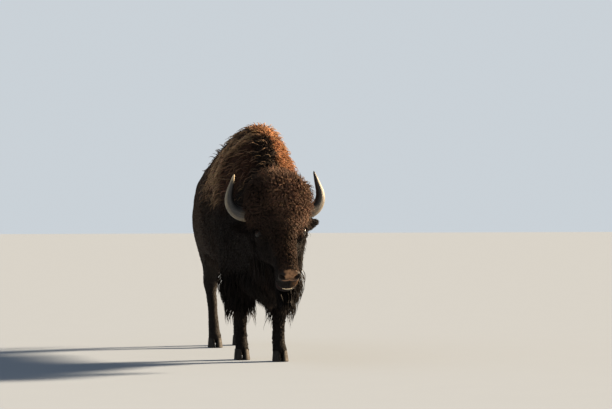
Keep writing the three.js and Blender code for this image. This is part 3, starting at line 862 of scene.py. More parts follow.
def skin_material():
    """Short flat fur as fine streaks along the coat, and bare grained leather on the muzzle."""
    n = Nodes("hide")
    lie = n.attribute("lie_v", "Vector")
    streak = n.noise(330.0, lie, 4.0, 0.65)
    clump = n.noise(70.0, lie, 3.0, 0.6)
    tone = n.math("MULTIPLY", n.ramp(streak, 0.3, 0.7, 0.6, 1.4),
                  n.ramp(clump, 0.3, 0.7, 0.75, 1.25))
    bare, naked = n.attribute("bare", "Fac"), n.attribute("naked")
    grain = n.pebbles(260.0, 0.30)
    leather = n.blend(grain, n.blend(0.35, naked, (0.012, 0.008, 0.007)), naked)
    height = n.math("ADD", n.math("MULTIPLY", streak, 0.35), clump)
    normals = {0: bare, 4: n.bump(height, 0.004, 0.8), 5: n.bump(grain, 0.0010, 0.8)}
    return n.surface(
        Base_Color=n.blend(bare, n.toned(n.attribute("coat"), tone), leather),
        Roughness=n.ramp(bare, 0.0, 1.0, 0.80, 0.58),
        Normal=n.add("Mix", normals, data_type="VECTOR")[1],
        Specular_IOR_Level=0.22,
    )


def paint_skin(mesh):
    points = vertices_of(mesh)
    at = Regions(points)
    mirrored = row(np.abs(at.hx), at.hy, at.hz)
    pad, mouth = nose_pad(at), in_mouth(at)
    rims = bump(mirrored, EYE, 0.027)
    holes = soft(0.017, 0.010, np.linalg.norm(mirrored - NOSTRIL, axis=1))
    mottle = soft(-0.7, 0.5, noise(points, 0.016, 95) + 0.6 * noise(points, 0.006, 96))
    # Brown on the top of the nose pad: partly dust and partly painted light where the key light
    # strikes it. The band along the pad's edge (rim) is a painted highlight; the rest of the pad
    # stays black.
    dust_and_lit_top = soft(0.050, 0.030, np.abs(at.hx - 0.010) + 0.010 * noise(points, 0.02, 94))
    dust_and_lit_top *= soft(-0.078, -0.050, at.hz + 0.006 * noise(points, 0.02, 98))
    rim = bell(at.hz, -0.082, 0.006) * soft(0.060, 0.045, np.abs(at.hx))
    dust_and_lit_top = np.maximum(dust_and_lit_top, 0.8 * rim)
    # The bare lip skin is lighter on the head's left half only (hx > 0): painted light.
    flap = soft(0.0, 0.05, at.hx) * soft(-0.20, -0.17, at.hz)
    lips = lip_skin(at) * (1 - pad) * (1 - mouth)
    naked = layered(
        LEATHER_BLACK,
        (NOSE_BROWN, pad * dust_and_lit_top * (0.55 + 0.45 * mottle)),
        (LEATHER_BLACK * 0.6, lips),
        (NOSE_BROWN * 0.19, flap * lips),
        (MOUTH_DARK, mouth),
        (BLACK_BROWN * 0.6, np.maximum(holes, rims)),
    )
    set_attribute(mesh, "coat", markings(points) * mix(0.75, 0.95, 1 - at.front)[:, None])
    set_attribute(mesh, "bare", np.clip(pad + lip_skin(at) + rims, 0, 1))
    set_attribute(mesh, "naked", naked)
    set_attribute(mesh, "lie_v", lie_coordinates(points))


def finish_piece(mesh, material, slot, *nodes, name=None):
    """Makes a mesh a piece of the model, which stands for the CAD nodes named."""
    mesh.materials.clear()
    mesh.materials.append(material)
    piece = new_object(name or mesh.name, mesh)
    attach(piece, "root")
    if nodes:
        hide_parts(*nodes)
    return piece


skin = make_skin()
SKIN = Surface(skin)
unwrap_skin(skin)
paint_skin(skin)
finish_piece(skin, skin_material(), "hide", *FLESH, name="skin")

# ---------------------------------------------------------------- the lie of the coat

DOWN = np.array([0.0, 0.0, -1.0])


def tangent(direction, normals):
    flat = direction - normals * dot(direction, normals)[:, None]
    weak = np.linalg.norm(flat, axis=1) < 0.08
    flat[weak] += np.cross(normals[weak], [1.0, 0.0, 0.0]) * 0.1
    return unit(flat)


def lie(points, normals, waver):
    """The way the hair points along the skin at each place."""
    at = Regions(points)
    side, up = np.tanh(at.x / 0.10), normals[:, 2]
    cape = layered(
        row(0.15 * side, 0.42, -0.90),
        (row(0.65 * side, 0.10, -0.70), soft(0.10, -0.15, at.y) * soft(0.15, 0.45, up)),
        (row(0.35 * side, 0.90, -0.20), soft(0.80, 0.95, up) * soft(-0.1, 0.15, at.y)),
    )
    crown = row(at.hx * 3.0, np.tanh((at.hy - 0.64) / 0.04), -0.1)
    face = mix(row(0.30 * np.tanh(at.hx / 0.05), -1.0, 0), crown, soft(0.50, 0.60, at.hy))
    face = layered(
        face @ HEAD_AXES.T,
        (row(0.1 * side, 0.30, -1.0), soft(0.45, 0.75, np.abs(normals @ HEAD_AXES[:, 0]))),
        (row(0, 0.15, -1.0), at.cheek),
    )
    way = layered(row(0, 0.86, -0.50), (cape, at.front),
                  (row(0, 0.10, -1.0), np.maximum(at.leg, at.tail)),
                  (row(0, 0.30, -0.95), at.hind), (face, at.head))
    way = way + waver * noise_vector(points, 0.07, 5) + 0.5 * waver * noise_vector(points, 0.025, 6)
    return tangent(way, normals)


SUNK = 0.004  # how far a lock's root lies under the skin


def trace(surface, roots, normals, length, steps, lift, high, hang=0.0, waver=0.3, flow=lie):
    """Centre lines of locks that leave the skin at a slope, bend over and run along it."""
    length, lift, high, hang = (np.broadcast_to(v, len(roots)) for v in (length, lift, high, hang))
    place, up = roots - normals * SUNK, normals
    lines, ups = [place], [up]
    for k in range(steps):
        share = (k + 0.5) / steps
        way = flow(place, up, waver) + up * (lift * (1 - share) ** 1.5)[:, None]
        way = unit(way + DOWN * (hang * share)[:, None])
        place = place + way * (length / steps)[:, None]
        found, up = surface.nearest(place)
        height = dot(place - found, up)
        low = 0.12 * np.minimum(high, 0.02)
        bounded = np.clip(height, low, np.maximum(high, low + 1e-4))
        place = place + up * (bounded - height)[:, None]
        lines.append(place)
        ups.append(up)
    return np.stack(lines, 1), np.stack(ups, 1)


def gathered(lines, size, strength, seed):
    """Draws the tips of neighbouring locks together, and gives each lock its leader's number."""
    random = np.random.default_rng(seed)
    roots = lines[:, 0]
    cells = np.floor(roots / size + 0.35 * noise_vector(roots, size * 2, seed)).astype(np.int64)
    _, leader, member = np.unique(cells, axis=0, return_index=True, return_inverse=True)
    member = member.ravel()
    centre = lines[leader][member]
    share = np.arange(lines.shape[1]) / (lines.shape[1] - 1)
    pull = strength * share**1.4 * (0.7 + 0.3 * random.random((len(lines), 1)))
    near = soft(2.2 * size, 1.2 * size, np.linalg.norm(roots - centre[:, 0], axis=1))
    return lines + (centre - lines) * (pull * near[:, None])[..., None], member


GOLDEN = 0.618  # spreads the turns of neighbouring groups of locks evenly


def curled(lines, ups, radius, turns, member, random, stray):
    """Winds each lock about its own centre line, wider towards the tip."""
    phase = 2 * math.pi * (member * GOLDEN % 1) + random.normal(0, stray, len(lines))
    share = np.arange(lines.shape[1]) / (lines.shape[1] - 1)
    aside = unit(np.cross(unit(np.gradient(lines, axis=1)), ups))
    angle = phase[:, None] + 2 * math.pi * turns * share
    reach = np.broadcast_to(radius, len(lines))[:, None] * np.minimum(share * 2, 1)
    swing = aside * np.cos(angle)[..., None] + ups * (0.7 * np.sin(angle))[..., None]
    return lines + swing * reach[..., None]


def lock_faces(steps):
    """The triangles of one closed lock: rings of three points and a tip."""
    faces = [(0, 2, 1)]
    for k in range(steps - 1):
        for j in range(3):
            a, b = 3 * k + j, 3 * k + (j + 1) % 3
            faces += [(a, b, b + 3), (a, b + 3, a + 3)]
    last = 3 * (steps - 1)
    faces += [(last + j, last + (j + 1) % 3, 3 * steps) for j in range(3)]
    return np.array(faces)


PATCH = 0.003  # the size of one lock's patch on the unwrap
WIDTH_STRAY = (0.75, 1.25)
TONE_STRAY, HUE_STRAY = 0.20, 0.05


def make_locks(name, lines, ups, width, colour, slot, seed, flat=0.5, shine=(0.55, 1.3)):
    """One coat piece: a closed, tapering lock along each centre line."""
    random = np.random.default_rng(seed)
    count, steps = len(lines), lines.shape[1] - 1
    share = np.arange(steps) / steps
    ahead = unit(np.gradient(lines, axis=1))
    side = unit(np.cross(ahead, ups))
    top = np.cross(side, ahead)
    roll = random.uniform(-0.6, 0.6, count)[:, None, None]
    size = np.broadcast_to(width, count) * random.uniform(*WIDTH_STRAY, count)
    half = size[:, None] * (0.9 + 0.25 * np.sin(math.pi * share)) * (1 - share**1.9) / 2
    half = half[..., None]
    centre = lines[:, :-1]
    aside = (side * np.cos(roll) + top * np.sin(roll))[:, :-1] * half
    above = (top * np.cos(roll) - side * np.sin(roll))[:, :-1] * half * flat
    ring = [centre + aside - above * 0.66, centre - aside - above * 0.66, centre + above * 1.33]
    ring = np.stack(ring, 2).reshape(count, 3 * steps, 3)
    points = np.concatenate([ring, lines[:, -1:]], 1)
    each = 3 * steps + 1
    faces = lock_faces(steps)[None] + (np.arange(count) * each)[:, None, None]
    faces = faces.reshape(-1, 3)
    mesh = mesh_of(name, points.reshape(-1, 3), faces)
    along = np.append(np.repeat(share, 3), 1.0)
    across = np.append(np.tile([0.0, 1.0, 0.5], steps), 0.5)
    number = region_number(lines[:, 0])
    place = unwrap(number, *unrolled(lines[:, 0], number))
    low, high = place.min(0), place.max(0)
    place = 0.01 + 0.98 * (place - low) / np.maximum(high - low, 1e-6)
    patch = PATCH * (np.stack([across, along], -1) - 0.5)
    set_uv(mesh, (place[:, None] + patch[None]).reshape(-1, 2)[faces.ravel()])
    tone = np.exp(random.normal(0, TONE_STRAY, (count, 1, 1)))
    shade = mix(shine[0], shine[1], along**0.8)[None, :, None]
    hue = 1 + random.normal(0, HUE_STRAY, (count, 1, 3))
    painted = colour[:, None] * shade * tone * hue
    set_attribute(mesh, "coat", np.clip(painted, 0, 0.9).reshape(-1, 3))
    length = np.linalg.norm(np.diff(lines, axis=1), axis=2).sum(1)
    strand = row(size[:, None] * across, length[:, None] * along, random.random((count, 1)))
    set_attribute(mesh, "strand_v", strand.reshape(-1, 3))
    return finish_piece(mesh, HAIR[slot], slot)


# ---------------------------------------------------------------- the coat

HAIR = {  # the coat's materials by slot
    "wool": coat_material("wool", 0.03),
    "dark_hair": coat_material("dark_hair", 0.0),
    "hide": coat_material("hide_hair", 0.0),
}


def coat(name, seed, density, length, width, steps, slot, lift=0.5, high=None, hang=0.0,
         waver=0.3, clump=(0.03, 0.5), curl=(0.0, 1.0), shine=(0.55, 1.3), colours=markings,
         surface=SKIN, flow=lie):
    """One piece of the coat. Every number may be a function of the regions at the roots, and
    without `high` the locks reach as far as the coat is deep."""
    def told(value):
        return value(at) if callable(value) else value

    roots, normals = surface.scatter(lambda points, _: density(Regions(points)), seed)
    at = Regions(roots)
    random = np.random.default_rng(seed + 1)
    length = told(length) * random.uniform(0.75, 1.2, len(roots))
    if high is None:
        high = coat_depth(roots) * random.uniform(0.7, 1.2, len(roots))
    lines, ups = trace(surface, roots, normals, length, steps, told(lift), told(high), told(hang),
                       waver, flow)
    lines, member = gathered(lines, *clump, seed + 2)
    lines = curled(lines, ups, told(curl[0]), curl[1], member, random, 0.5)
    return make_locks(name, lines, ups, told(width), colours(roots), slot, seed + 3, shine=shine)


def around_eye(at):
    """0 on the eyes and 1 away from them."""
    far = np.linalg.norm(row(np.abs(at.hx), at.hy, at.hz) - EYE, axis=1)
    return np.where(at.head > 0.5, soft(0.027, 0.034, far), 1.0)


def worn_smooth(at):
    """1 where the old wool has already gone, in front of the flap on the right shoulder."""
    ahead = soft(0.02, -0.03, behind_flap(at) + 0.02 * noise(at.points, 0.07, 86))
    return ahead * soft(0.0, -0.07, at.x) * soft(1.08, 1.2, at.z) * soft(-0.5, -0.4, at.y)


def face_density(at):
    bare = np.clip(nose_pad(at) + lip_skin(at), 0, 1)
    hairs = mix(30000, 36000, at.near_eye) * at.head * soft(0.43, 0.33, at.hy)
    return hairs * around_eye(at) * (1 - bare)


def face_length(at):
    length = mix(mix(0.010, 0.030, soft(0.0, 0.16, at.hy)), 0.011, at.near_eye)
    return length + 0.012 * at.bridge + 0.008 * at.cheek


def face_curl(at):
    return 0.0062 * soft(0.04, 0.12, at.hy) * (1 - at.near_eye) * (0.3 + 0.7 * at.bridge)


def grow_half(side, label):
    """The coat of the left half (side 1) or of the right half (side 0)."""
    def half(name, seed, density, *shape, **looks):
        coat(f"{name}_{label}", seed + side, lambda at: density(at) * ((at.x > 0) == side),
             *shape, **looks)

    half("cape", 100, lambda at: 14500 * at.cape * (at.y > -0.12),
         lambda at: mix(mix(0.034, 0.046, soft(1.5, 0.9, at.z)), 0.022, worn_smooth(at)),
         0.0070, 2, "wool", lift=lambda at: mix(1.3, 0.7, worn_smooth(at)),
         clump=(0.024, 0.55), waver=0.42)
    half("mane", 110, lambda at: 15500 * at.cape * (at.y <= -0.12), 0.038, 0.0068, 2, "wool",
         lift=1.5, clump=(0.022, 0.55), waver=0.45, shine=(0.5, 1.3))
    half("tufts", 115,
         lambda at: 1500 * at.cape * (0.4 + soft(1.0, 1.5, at.z)) * (1 - 0.95 * worn_smooth(at)),
         0.060, 0.0070, 4, "wool", lift=1.9, clump=(0.05, 0.75), curl=(0.005, 1.0), waver=0.6,
         shine=(0.6, 1.5))
    half("crown", 120, lambda at: 27000 * at.head * soft(0.33, 0.43, at.hy) * around_eye(at),
         lambda at: mix(0.036, 0.050, at.crown), 0.0068, 4, "dark_hair", lift=4.2,
         clump=(0.019, 0.85), curl=(0.0075, 0.95), waver=2.2, shine=(0.16, 2.5),
         high=lambda at: coat_depth(at.points) * 1.15)
    half("face", 130, face_density, face_length,
         lambda at: mix(0.0038, 0.0062, soft(0.02, 0.16, at.hy)), 3, "dark_hair",
         lift=lambda at: mix(0.6, 3.2, at.bridge), clump=(0.016, 0.82), curl=(face_curl, 0.7),
         waver=1.2, shine=(0.2, 2.4))
    half("flank", 140, lambda at: 6500 * (1 - at.front) * (1 - at.head) * (1 - at.fore),
         lambda at: mix(0.028, 0.020, np.maximum(at.hind, at.tail)),
         lambda at: mix(0.0072, 0.0056, np.maximum(at.hind, at.tail)), 2, "hide",
         lift=0.22, clump=(0.016, 0.12), waver=0.15, shine=(0.85, 1.08))


def frizz_density(at):
    top = soft(0.44, 0.56, at.hy) * (1 - at.near_horn)
    return (2200 + 3000 * soft(0.04, 0.14, at.hx)) * at.head * top


def fringe_density(at):
    low = soft(0.80, 0.72, at.z) * soft(0.10, 0.25, at.y) * soft(1.3, 1.15, at.y)
    return 2800 * (1 - at.leg) * (1 - at.head) * low


def grow_coat():
    grow_half(1, "left")
    grow_half(0, "right")
    coat("frizz", 125, frizz_density, 0.090, 0.0046, 4, "dark_hair", lift=3.0, high=0.080,
         clump=(0.03, 0.35), waver=0.9, curl=(0.004, 1.0), shine=(0.5, 1.6))
    coat("forelegs", 150, lambda at: 24000 * at.fore * (1 - 0.75 * at.chaps),
         lambda at: mix(0.020, 0.06, at.chaps), lambda at: mix(0.0034, 0.008, at.chaps), 2,
         "dark_hair", lift=0.18, waver=0.10, clump=(0.012, 0.1), shine=(0.75, 1.25))
    coat("chaps", 160, lambda at: 5000 * at.chaps, 0.145, 0.0085, 5, "dark_hair", lift=2.0,
         high=0.075, hang=0.8, clump=(0.035, 0.6), curl=(0.004, 1.0))
    coat("shed_wool", 170, lambda at: 5200 * shed_patches(at.points), 0.082, 0.0080, 5, "wool",
         lift=2.0, high=0.056, clump=(0.05, 0.85), curl=(0.006, 1.1), waver=0.4,
         shine=(0.5, 1.5), colours=faded)
    coat("ragged_wool", 180, lambda at: 420 * at.cape * soft(1.15, 1.4, at.z), 0.085, 0.0080, 5,
         "wool", lift=2.4, high=lambda at: mix(0.034, 0.060, soft(1.3, 1.5, at.z)),
         clump=(0.07, 0.85), curl=(0.006, 1.0), waver=0.9, shine=(0.7, 1.5), colours=faded)
    coat("belly_fringe", 185, fringe_density, 0.070, 0.0085, 4, "dark_hair", lift=1.0,
         high=0.07, hang=1.4, clump=(0.03, 0.6))


FREE = 0.5  # how high hanging hair may stand off the skin: no bound


def hanging(name, seed, density, bottom, width, steps=6, clump=(0.035, 0.6), spread=0.35,
            curl=0.006, fall=3.0):
    """Long hair that hangs free; bottom(x, y) is the level of its tips."""
    roots, normals = SKIN.scatter(
        lambda points, facing: density(Regions(points)) * soft(0.30, -0.15, facing[:, 2]), seed)
    random = np.random.default_rng(seed + 1)
    x, y, z = in_body(roots).T
    drop = np.clip(z - bottom(x, y), 0.03, 0.36)
    length = drop * random.uniform(0.72, 1.16, len(roots))
    lines, ups = trace(SKIN, roots, normals, length, steps, spread, FREE, fall, 0.2)
    lines, member = gathered(lines, *clump, seed + 2)
    lines = curled(lines, ups, curl, 1.1, member, random, 0.4)
    return make_locks(name, lines, ups, width, markings(roots), "dark_hair", seed + 3, 0.45,
                      (0.6, 1.5))


def bowl(x, y, middle, radii):
    """1 over the middle of an ellipse, falling to 0 at its edge as a round bowl does."""
    inside = 1 - ((x - middle[0]) / radii[0]) ** 2 - ((y - middle[1]) / radii[1]) ** 2
    return np.sqrt(np.clip(inside, 0, 1))


def beard_bottom(x, y):
    away = np.hypot(x - 0.006, 0.8 * (y + 0.740))
    return 0.380 + 1.5 * np.maximum(away - 0.07, 0)


def chin_density(at):
    chin = soft(0.008, 0.03, at.hy) * soft(0.34, 0.26, at.hy) * soft(0.105, 0.08, np.abs(at.hx))
    return 38000 * at.head * soft(-0.262, -0.285, at.hz) * chin


def throat_density(at):
    throat = soft(-0.26, -0.40, at.y) * soft(1.0, 0.84, at.z) * soft(0.19, 0.12, np.abs(at.x))
    return 9000 * (1 - at.head) * throat


def belly_density(at):
    middle = soft(0.08, 0.05, np.abs(at.x)) * soft(0.78, 0.82, at.y) * soft(1.02, 0.98, at.y)
    return 9000 * soft(0.70, 0.64, at.z) * middle


def grow_hanging_hair():
    beard = hanging("beard_locks", 200, chin_density, beard_bottom, 0.0092, 7, (0.04, 0.7), 0.5,
                    0.009)
    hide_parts("beard")
    hanging("throat_locks", 210, throat_density, lambda x, y: 0.47 + 0.80 * np.abs(x), 0.0088,
            spread=0.45)
    hanging("brisket_locks", 220, lambda at: 9000 * at.brisket * soft(-0.52, -0.44, at.y),
            lambda x, y: 0.580 - 0.230 * bowl(x, y, (0, -0.23), (0.165, 0.27)), 0.0092,
            spread=0.4, fall=5.5)
    hanging("belly_locks", 230, belly_density,
            lambda x, y: 0.645 - 0.072 * bowl(x, y, (0, 0.90), (0.065, 0.115)), 0.009, 4,
            (0.03, 0.5), 0.3)
    tuft = hanging("tail_locks", 240, lambda at: 620000 * at.tail * soft(0.96, 0.80, at.z),
                   lambda x, y: 0.475, 0.010, 6, (0.05, 0.5), 0.35, 0.008)
    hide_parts("tail_tuft")


grow_coat()
grow_hanging_hair()

# ---------------------------------------------------------------- horns, eyes, lids and ears

HORN_ROOT = np.array([0.112, 0.550, -0.060])
HORN_LENGTH, HORN_RADIUS, HORN_TIP = 0.484, 0.062, 0.004
UPRIGHT = np.array([0, math.sin(HEAD_PITCH), math.cos(HEAD_PITCH)])
AHEAD = np.array([0, -math.cos(HEAD_PITCH), math.sin(HEAD_PITCH)])
HORN_BURIED = 0.05  # the horn's core goes on this far into the skull
CREAM = np.array([0.50, 0.40, 0.27])
HORN_GREY = np.array([0.138, 0.123, 0.094])
HORN_BLACK = np.array([0.012, 0.0105, 0.010])
HORN_DARK = np.array([0.050, 0.047, 0.046])
OCHRE = np.array([0.27, 0.175, 0.07])


def round_and_along(along, sides):
    """A grid of places along a tube and angles round it."""
    return np.meshgrid(along, np.arange(sides) / sides * 2 * math.pi, indexing="ij")


def ring_faces(rings, sides, flip=False):
    """Quads between neighbouring rings of points, all the way round."""
    i, j = np.meshgrid(np.arange(rings - 1), np.arange(sides), indexing="ij")
    a, b = i * sides + j, i * sides + (j + 1) % sides
    order = [a, a + sides, b + sides, b] if flip else [a, b, b + sides, a + sides]
    return np.stack(order, -1).reshape(-1, 4)


def closed_tube(name, rings, flip=False):
    """A mesh through rings of points whose ends close on their middles."""
    count, sides = rings.shape[:2]
    body = bmesh.new()
    verts = [body.verts.new(point) for point in rings.reshape(-1, 3).tolist()]
    for face in ring_faces(count, sides, flip).tolist():
        body.faces.new([verts[k] for k in face])
    for end, outward in ((verts[:sides], flip), (verts[-sides:], not flip)):
        hub = body.verts.new(sum((v.co for v in end), Vector()) / sides)
        for j in range(sides):
            a, b = end[j], end[(j + 1) % sides]
            body.faces.new((hub, a, b) if outward else (hub, b, a))
    return mesh_from(body, name)


def horn_line():
    """The horn's centre line in the head's frame, with its headings."""
    samples = 120
    turn = (np.arange(samples) + 0.5) / samples
    angle = np.radians(mix(-10.0, 106.0, soft(0.1, 0.78, turn)))[:, None]
    lean = mix(-0.3, 0.12, turn)[:, None]
    heading = unit(np.cos(angle) * [1, 0, 0] + np.sin(angle) * UPRIGHT + lean * AHEAD)
    line = HORN_ROOT + np.cumsum(heading, 0) * HORN_LENGTH / samples
    line = np.concatenate([[HORN_ROOT - heading[0] * HORN_BURIED, HORN_ROOT], line])
    return line, np.concatenate([heading[:1], heading[:1], heading])


def make_horn(side, label, tip):
    line, heading = horn_line()
    inward = unit(np.cross(AHEAD, heading))  # points into the horn's bend
    depth = np.cross(heading, inward)
    share = np.clip((np.arange(len(line)) - 1) / (len(line) - 2), 0, 1)
    t, a = round_and_along(share, 48)
    radius = HORN_RADIUS * (1 - t) ** 0.8 + HORN_TIP
    radius *= np.sqrt(np.clip((1.004 - t) / 0.03, 0.02, 1))
    waves = noise(row(t * 34 + 0.15 * np.cos(a), 0, 0), 1.0, 12)
    flutes = noise(row(np.cos(a) * 4.5, np.sin(a) * 4.5, t * 1.5), 1.0, 13)
    radius += 0.0022 * waves * soft(0.5, 0.05, t) + 0.0012 * flutes * soft(0.9, 0.6, t)
    rings = placed(line[:, None], (inward[:, None], np.cos(a) * radius),
                   (depth[:, None], np.sin(a) * radius * 0.92))
    mesh = closed_tube(f"horn_sheath_{label}", from_head(rings, side), flip=side < 0)
    inner, over = np.append(np.cos(a), [0, 0]), np.append(np.sin(a), [0, 0])
    t = np.append(t, [0, 1])
    blotch = 0.25 * noise(vertices_of(mesh), 0.045, 14)
    under = soft(0.42, 0.12, t + 0.6 * blotch)
    front = mix(HORN_DARK, OCHRE * 0.5, 0.7 * under)
    colour = layered(
        HORN_GREY,
        (OCHRE, under),
        (CREAM, 0.35 * soft(0.30, 0.70, t + blotch)),
        (front, soft(-0.95, -0.30, inner + 0.5 * blotch)),
        # Black on the side that faces into the bend: partly the horn's own dark colour and partly
        # painted shade.
        (HORN_BLACK, soft(0.0, 0.55, inner + 0.4 * blotch)),
        (tip, soft(0.84, 0.93, t + 0.2 * blotch)),
    )
    set_attribute(mesh, "coat", np.clip(colour, 0.005, 0.9))
    set_attribute(mesh, "grain_v", row(inner, over, t * 0.9))
    finish_piece(mesh, HORN, "horn", f"horn_{label}")


def horn_material():
    """Keratin: long streaks and scratches over the colour, glossier along some of the streaks."""
    n = Nodes("horn")
    grain = n.attribute("grain_v", "Vector")
    streak = n.noise(9.0, n.scaled(grain, (3.0, 3.0, 1.2)), 6.0, 0.7)
    fine = n.noise(40.0, n.scaled(grain, (3.0, 3.0, 0.8)), 3.0, 0.6)
    tone = n.math("MULTIPLY", n.ramp(streak, 0.34, 0.66, 0.35, 1.7),
                  n.ramp(fine, 0.3, 0.7, 0.8, 1.2))
    return n.surface(
        Base_Color=n.toned(n.attribute("coat"), tone),
        Roughness=n.ramp(streak, 0.3, 0.7, 0.34, 0.58),
        Normal=n.bump(n.math("ADD", streak, fine), 0.0016, 0.7),
        Specular_IOR_Level=0.5,
    )


PUPIL = (0.36, 0.17)  # half of its length and height, in radii of the eye


def eye_material():
    """A dark brown iris with a pupil that lies flat, in a dull white with brown edges."""
    n = Nodes("eye")
    gaze = n.attribute("gaze_v", "Vector")
    aside, over, _ = n.add("SeparateXYZ", {0: gaze})

    def distance(a, b):
        return n.math("SQRT", n.math("ADD", n.math("POWER", a, 2.0), n.math("POWER", b, 2.0)))

    far = distance(aside, over)
    in_pupil = [n.math("MULTIPLY", v, 1 / half) for v, half in zip((aside, over), PUPIL)]
    pupil = n.ramp(distance(*in_pupil), 0.9, 1.05, 1.0, 0.0)
    iris = n.blend(n.noise(7.0, gaze, 4.0, 0.7), (0.014, 0.006, 0.003), (0.048, 0.020, 0.008))
    iris = n.blend(n.ramp(far, 0.50, 0.64), iris, (0.008, 0.005, 0.004))
    white = n.blend(n.ramp(far, 0.68, 0.92), (0.05, 0.033, 0.026), (0.028, 0.016, 0.012))
    colour = n.blend(n.ramp(far, 0.62, 0.68), iris, white)
    return n.surface(Base_Color=n.blend(pupil, colour, (0.003, 0.002, 0.002)),
                     Roughness=0.10, Specular_IOR_Level=0.18)


def make_eye(side, label):
    rings = 44
    p, r = round_and_along(np.arange(1, rings) / rings * math.pi, 56)
    aside, over, out = np.sin(p) * np.cos(r), np.sin(p) * np.sin(r), np.cos(p)
    ball = placed(0, (EYE_SIDE, aside), (EYE_UP, over), (EYE_AXIS, out))
    cornea = 1 + 0.045 * bell(p, 0, 0.55)
    points = EYE + ball * ((EYE_RADIUS - 0.0012) * cornea)[..., None]
    mesh = closed_tube(f"eyeball_{label}", from_head(points, side), flip=side < 0)
    set_attribute(mesh, "gaze_v", row(*(np.append(v, [0, 0]) for v in (aside, over, out))))
    finish_piece(mesh, EYE_GLOSS, "eye", f"eye_{label}")


LID_PROFILE = np.array([  # how far each ring of a lid is from the opening, and off the ball
    (0, 0.0002), (0.0003, 0.0018), (0.0012, 0.0029), (0.0024, 0.0032), (0.0042, 0.003),
    (0.006, 0.0019), (0.0075, 0.0022), (0.009, 0.0033), (0.0115, 0.0036), (0.014, 0.0022),
    (0.018, -0.001), (0.024, -0.007),
])
LID_THICKNESS = 0.0035


def make_lids(side, label):
    sides = 88
    turn = np.arange(sides) / sides * 2 * math.pi
    away, proud = LID_PROFILE.T[..., None]
    opening = np.where(np.sin(turn) > 0, EYE_OPENING, EYE_OPENING * 0.86)
    edge_s = EYE_WIDTH * 0.92 * np.sign(np.cos(turn)) * np.abs(np.cos(turn)) ** 0.85
    edge_u = opening * np.sign(np.sin(turn)) * np.abs(np.sin(turn)) ** 1.2 - 0.10 * edge_s
    spread = unit(np.stack([edge_s, edge_u * 1.5], -1))
    s = edge_s + away * spread[:, 0]
    u = edge_u + away * spread[:, 1]
    far = np.hypot(s, u)
    ball = np.sqrt(np.clip(EYE_RADIUS**2 - far**2, 0, None))
    mound = 0.007 - 0.45 * np.maximum(far - 0.024, 0)
    heavy = 1 + 0.35 * (np.sin(turn) > 0) * np.sin(turn)
    height = np.maximum(ball, mound) + proud * heavy
    points = placed(EYE, (EYE_SIDE, s), (EYE_UP, u), (EYE_AXIS, height))
    under = points[::-1] - EYE_AXIS * LID_THICKNESS
    loop = np.concatenate([points, under])
    faces = ring_faces(len(loop) + 1, sides, flip=side > 0) % (len(loop) * sides)
    mesh = mesh_of(f"lids_{label}", from_head(loop, side).reshape(-1, 3), faces)
    set_attribute(mesh, "coat", np.tile(BLACK_BROWN * 0.9, (len(mesh.vertices), 1)))
    finish_piece(mesh, LEATHER, "dark_hair")
    lashes(side, label, points[2], turn)


def lashes(side, label, rim, turn):
    """A row of lashes on the upper lid."""
    random = np.random.default_rng(300 + (side > 0))
    root = np.repeat(rim[np.sin(turn) > 0.25], 2, axis=0)
    root = root + random.normal(0, 0.0008, root.shape)
    slant = (root - EYE) @ EYE_SIDE
    way = unit(EYE_AXIS * 0.9 + EYE_SIDE * (slant * 22)[:, None] + EYE_UP * 0.15)
    share = np.linspace(0, 1, 4)[None, :, None]
    length = random.uniform(0.014, 0.022, (len(root), 1, 1))
    lines = root[:, None] + way[:, None] * share * length - (EYE_UP * 0.35) * share**2 * length
    lines = from_head(lines, side)
    ups = np.broadcast_to(EYE_AXIS * [side, 1, 1] @ HEAD_AXES.T, lines.shape)
    make_locks(f"lashes_{label}", lines, ups, 0.0011, np.tile(BLACK_BROWN, (len(root), 1)),
               "dark_hair", 301)


def leather_material():
    n = Nodes("leather")
    grain = n.pebbles(420.0, 0.25)
    return n.surface(Base_Color=n.blend(grain, (0.008, 0.006, 0.005), n.attribute("coat")),
                     Normal=n.bump(grain, 0.0006, 0.7), Roughness=0.42, Specular_IOR_Level=0.45)


EAR_ROOT = np.array([0.128, 0.488, -0.176])
EAR_ALONG = unit([0.92, 0.34, -0.22])
EAR_LENGTH, EAR_HALF_WIDTH, EAR_HALF_THICKNESS = 0.205, 0.043, 0.010
EAR_FACE = at_right_angles(EAR_ALONG, [0.1, -0.75, 0.65])
EAR_ACROSS = np.cross(EAR_FACE, EAR_ALONG)


def make_ear(side, label):
    t, a = round_and_along(np.linspace(-0.25, 1, 40), 40)
    share = np.clip(t, 0, 1)
    width = EAR_HALF_WIDTH * np.sin(math.pi * (0.16 + 0.8 * share)) ** 0.8
    thick = EAR_HALF_THICKNESS * (1 - 0.5 * share)
    aside = np.cos(a) * width
    cup = 0.012 * np.clip(np.sin(a), 0, 1) * np.sin(math.pi * share) * (1 - np.abs(np.cos(a)))
    depth = np.sin(a) * thick - cup + (aside / 0.05) ** 2 * 0.013 * share
    points = placed(EAR_ROOT, (EAR_ALONG, t * EAR_LENGTH), (EAR_ACROSS, aside), (EAR_FACE, depth))
    mesh = closed_tube(f"ear_skin_{label}", from_head(points, side), flip=side < 0)
    set_attribute(mesh, "coat", np.tile(BLACK_BROWN * 1.2, (len(mesh.vertices), 1)))
    surface = Surface(mesh)
    finish_piece(mesh, LEATHER, "dark_hair", f"ear_{label}")
    out = EAR_ALONG * [side, 1, 1] @ HEAD_AXES.T

    def along_ear(points, normals, waver):
        return tangent(out + DOWN * 0.25 + waver * noise_vector(points, 0.03, 9), normals)

    coat(f"ear_hair_{label}", 310 + (side > 0), lambda at: 36000, 0.054, 0.0046, 4, "dark_hair",
         lift=1.4, high=0.022, clump=(0.02, 0.6), surface=surface, flow=along_ear,
         shine=(0.6, 1.5), hang=0.35, waver=0.5,
         colours=lambda points: np.tile(BLACK_BROWN * 1.3, (len(points), 1)))


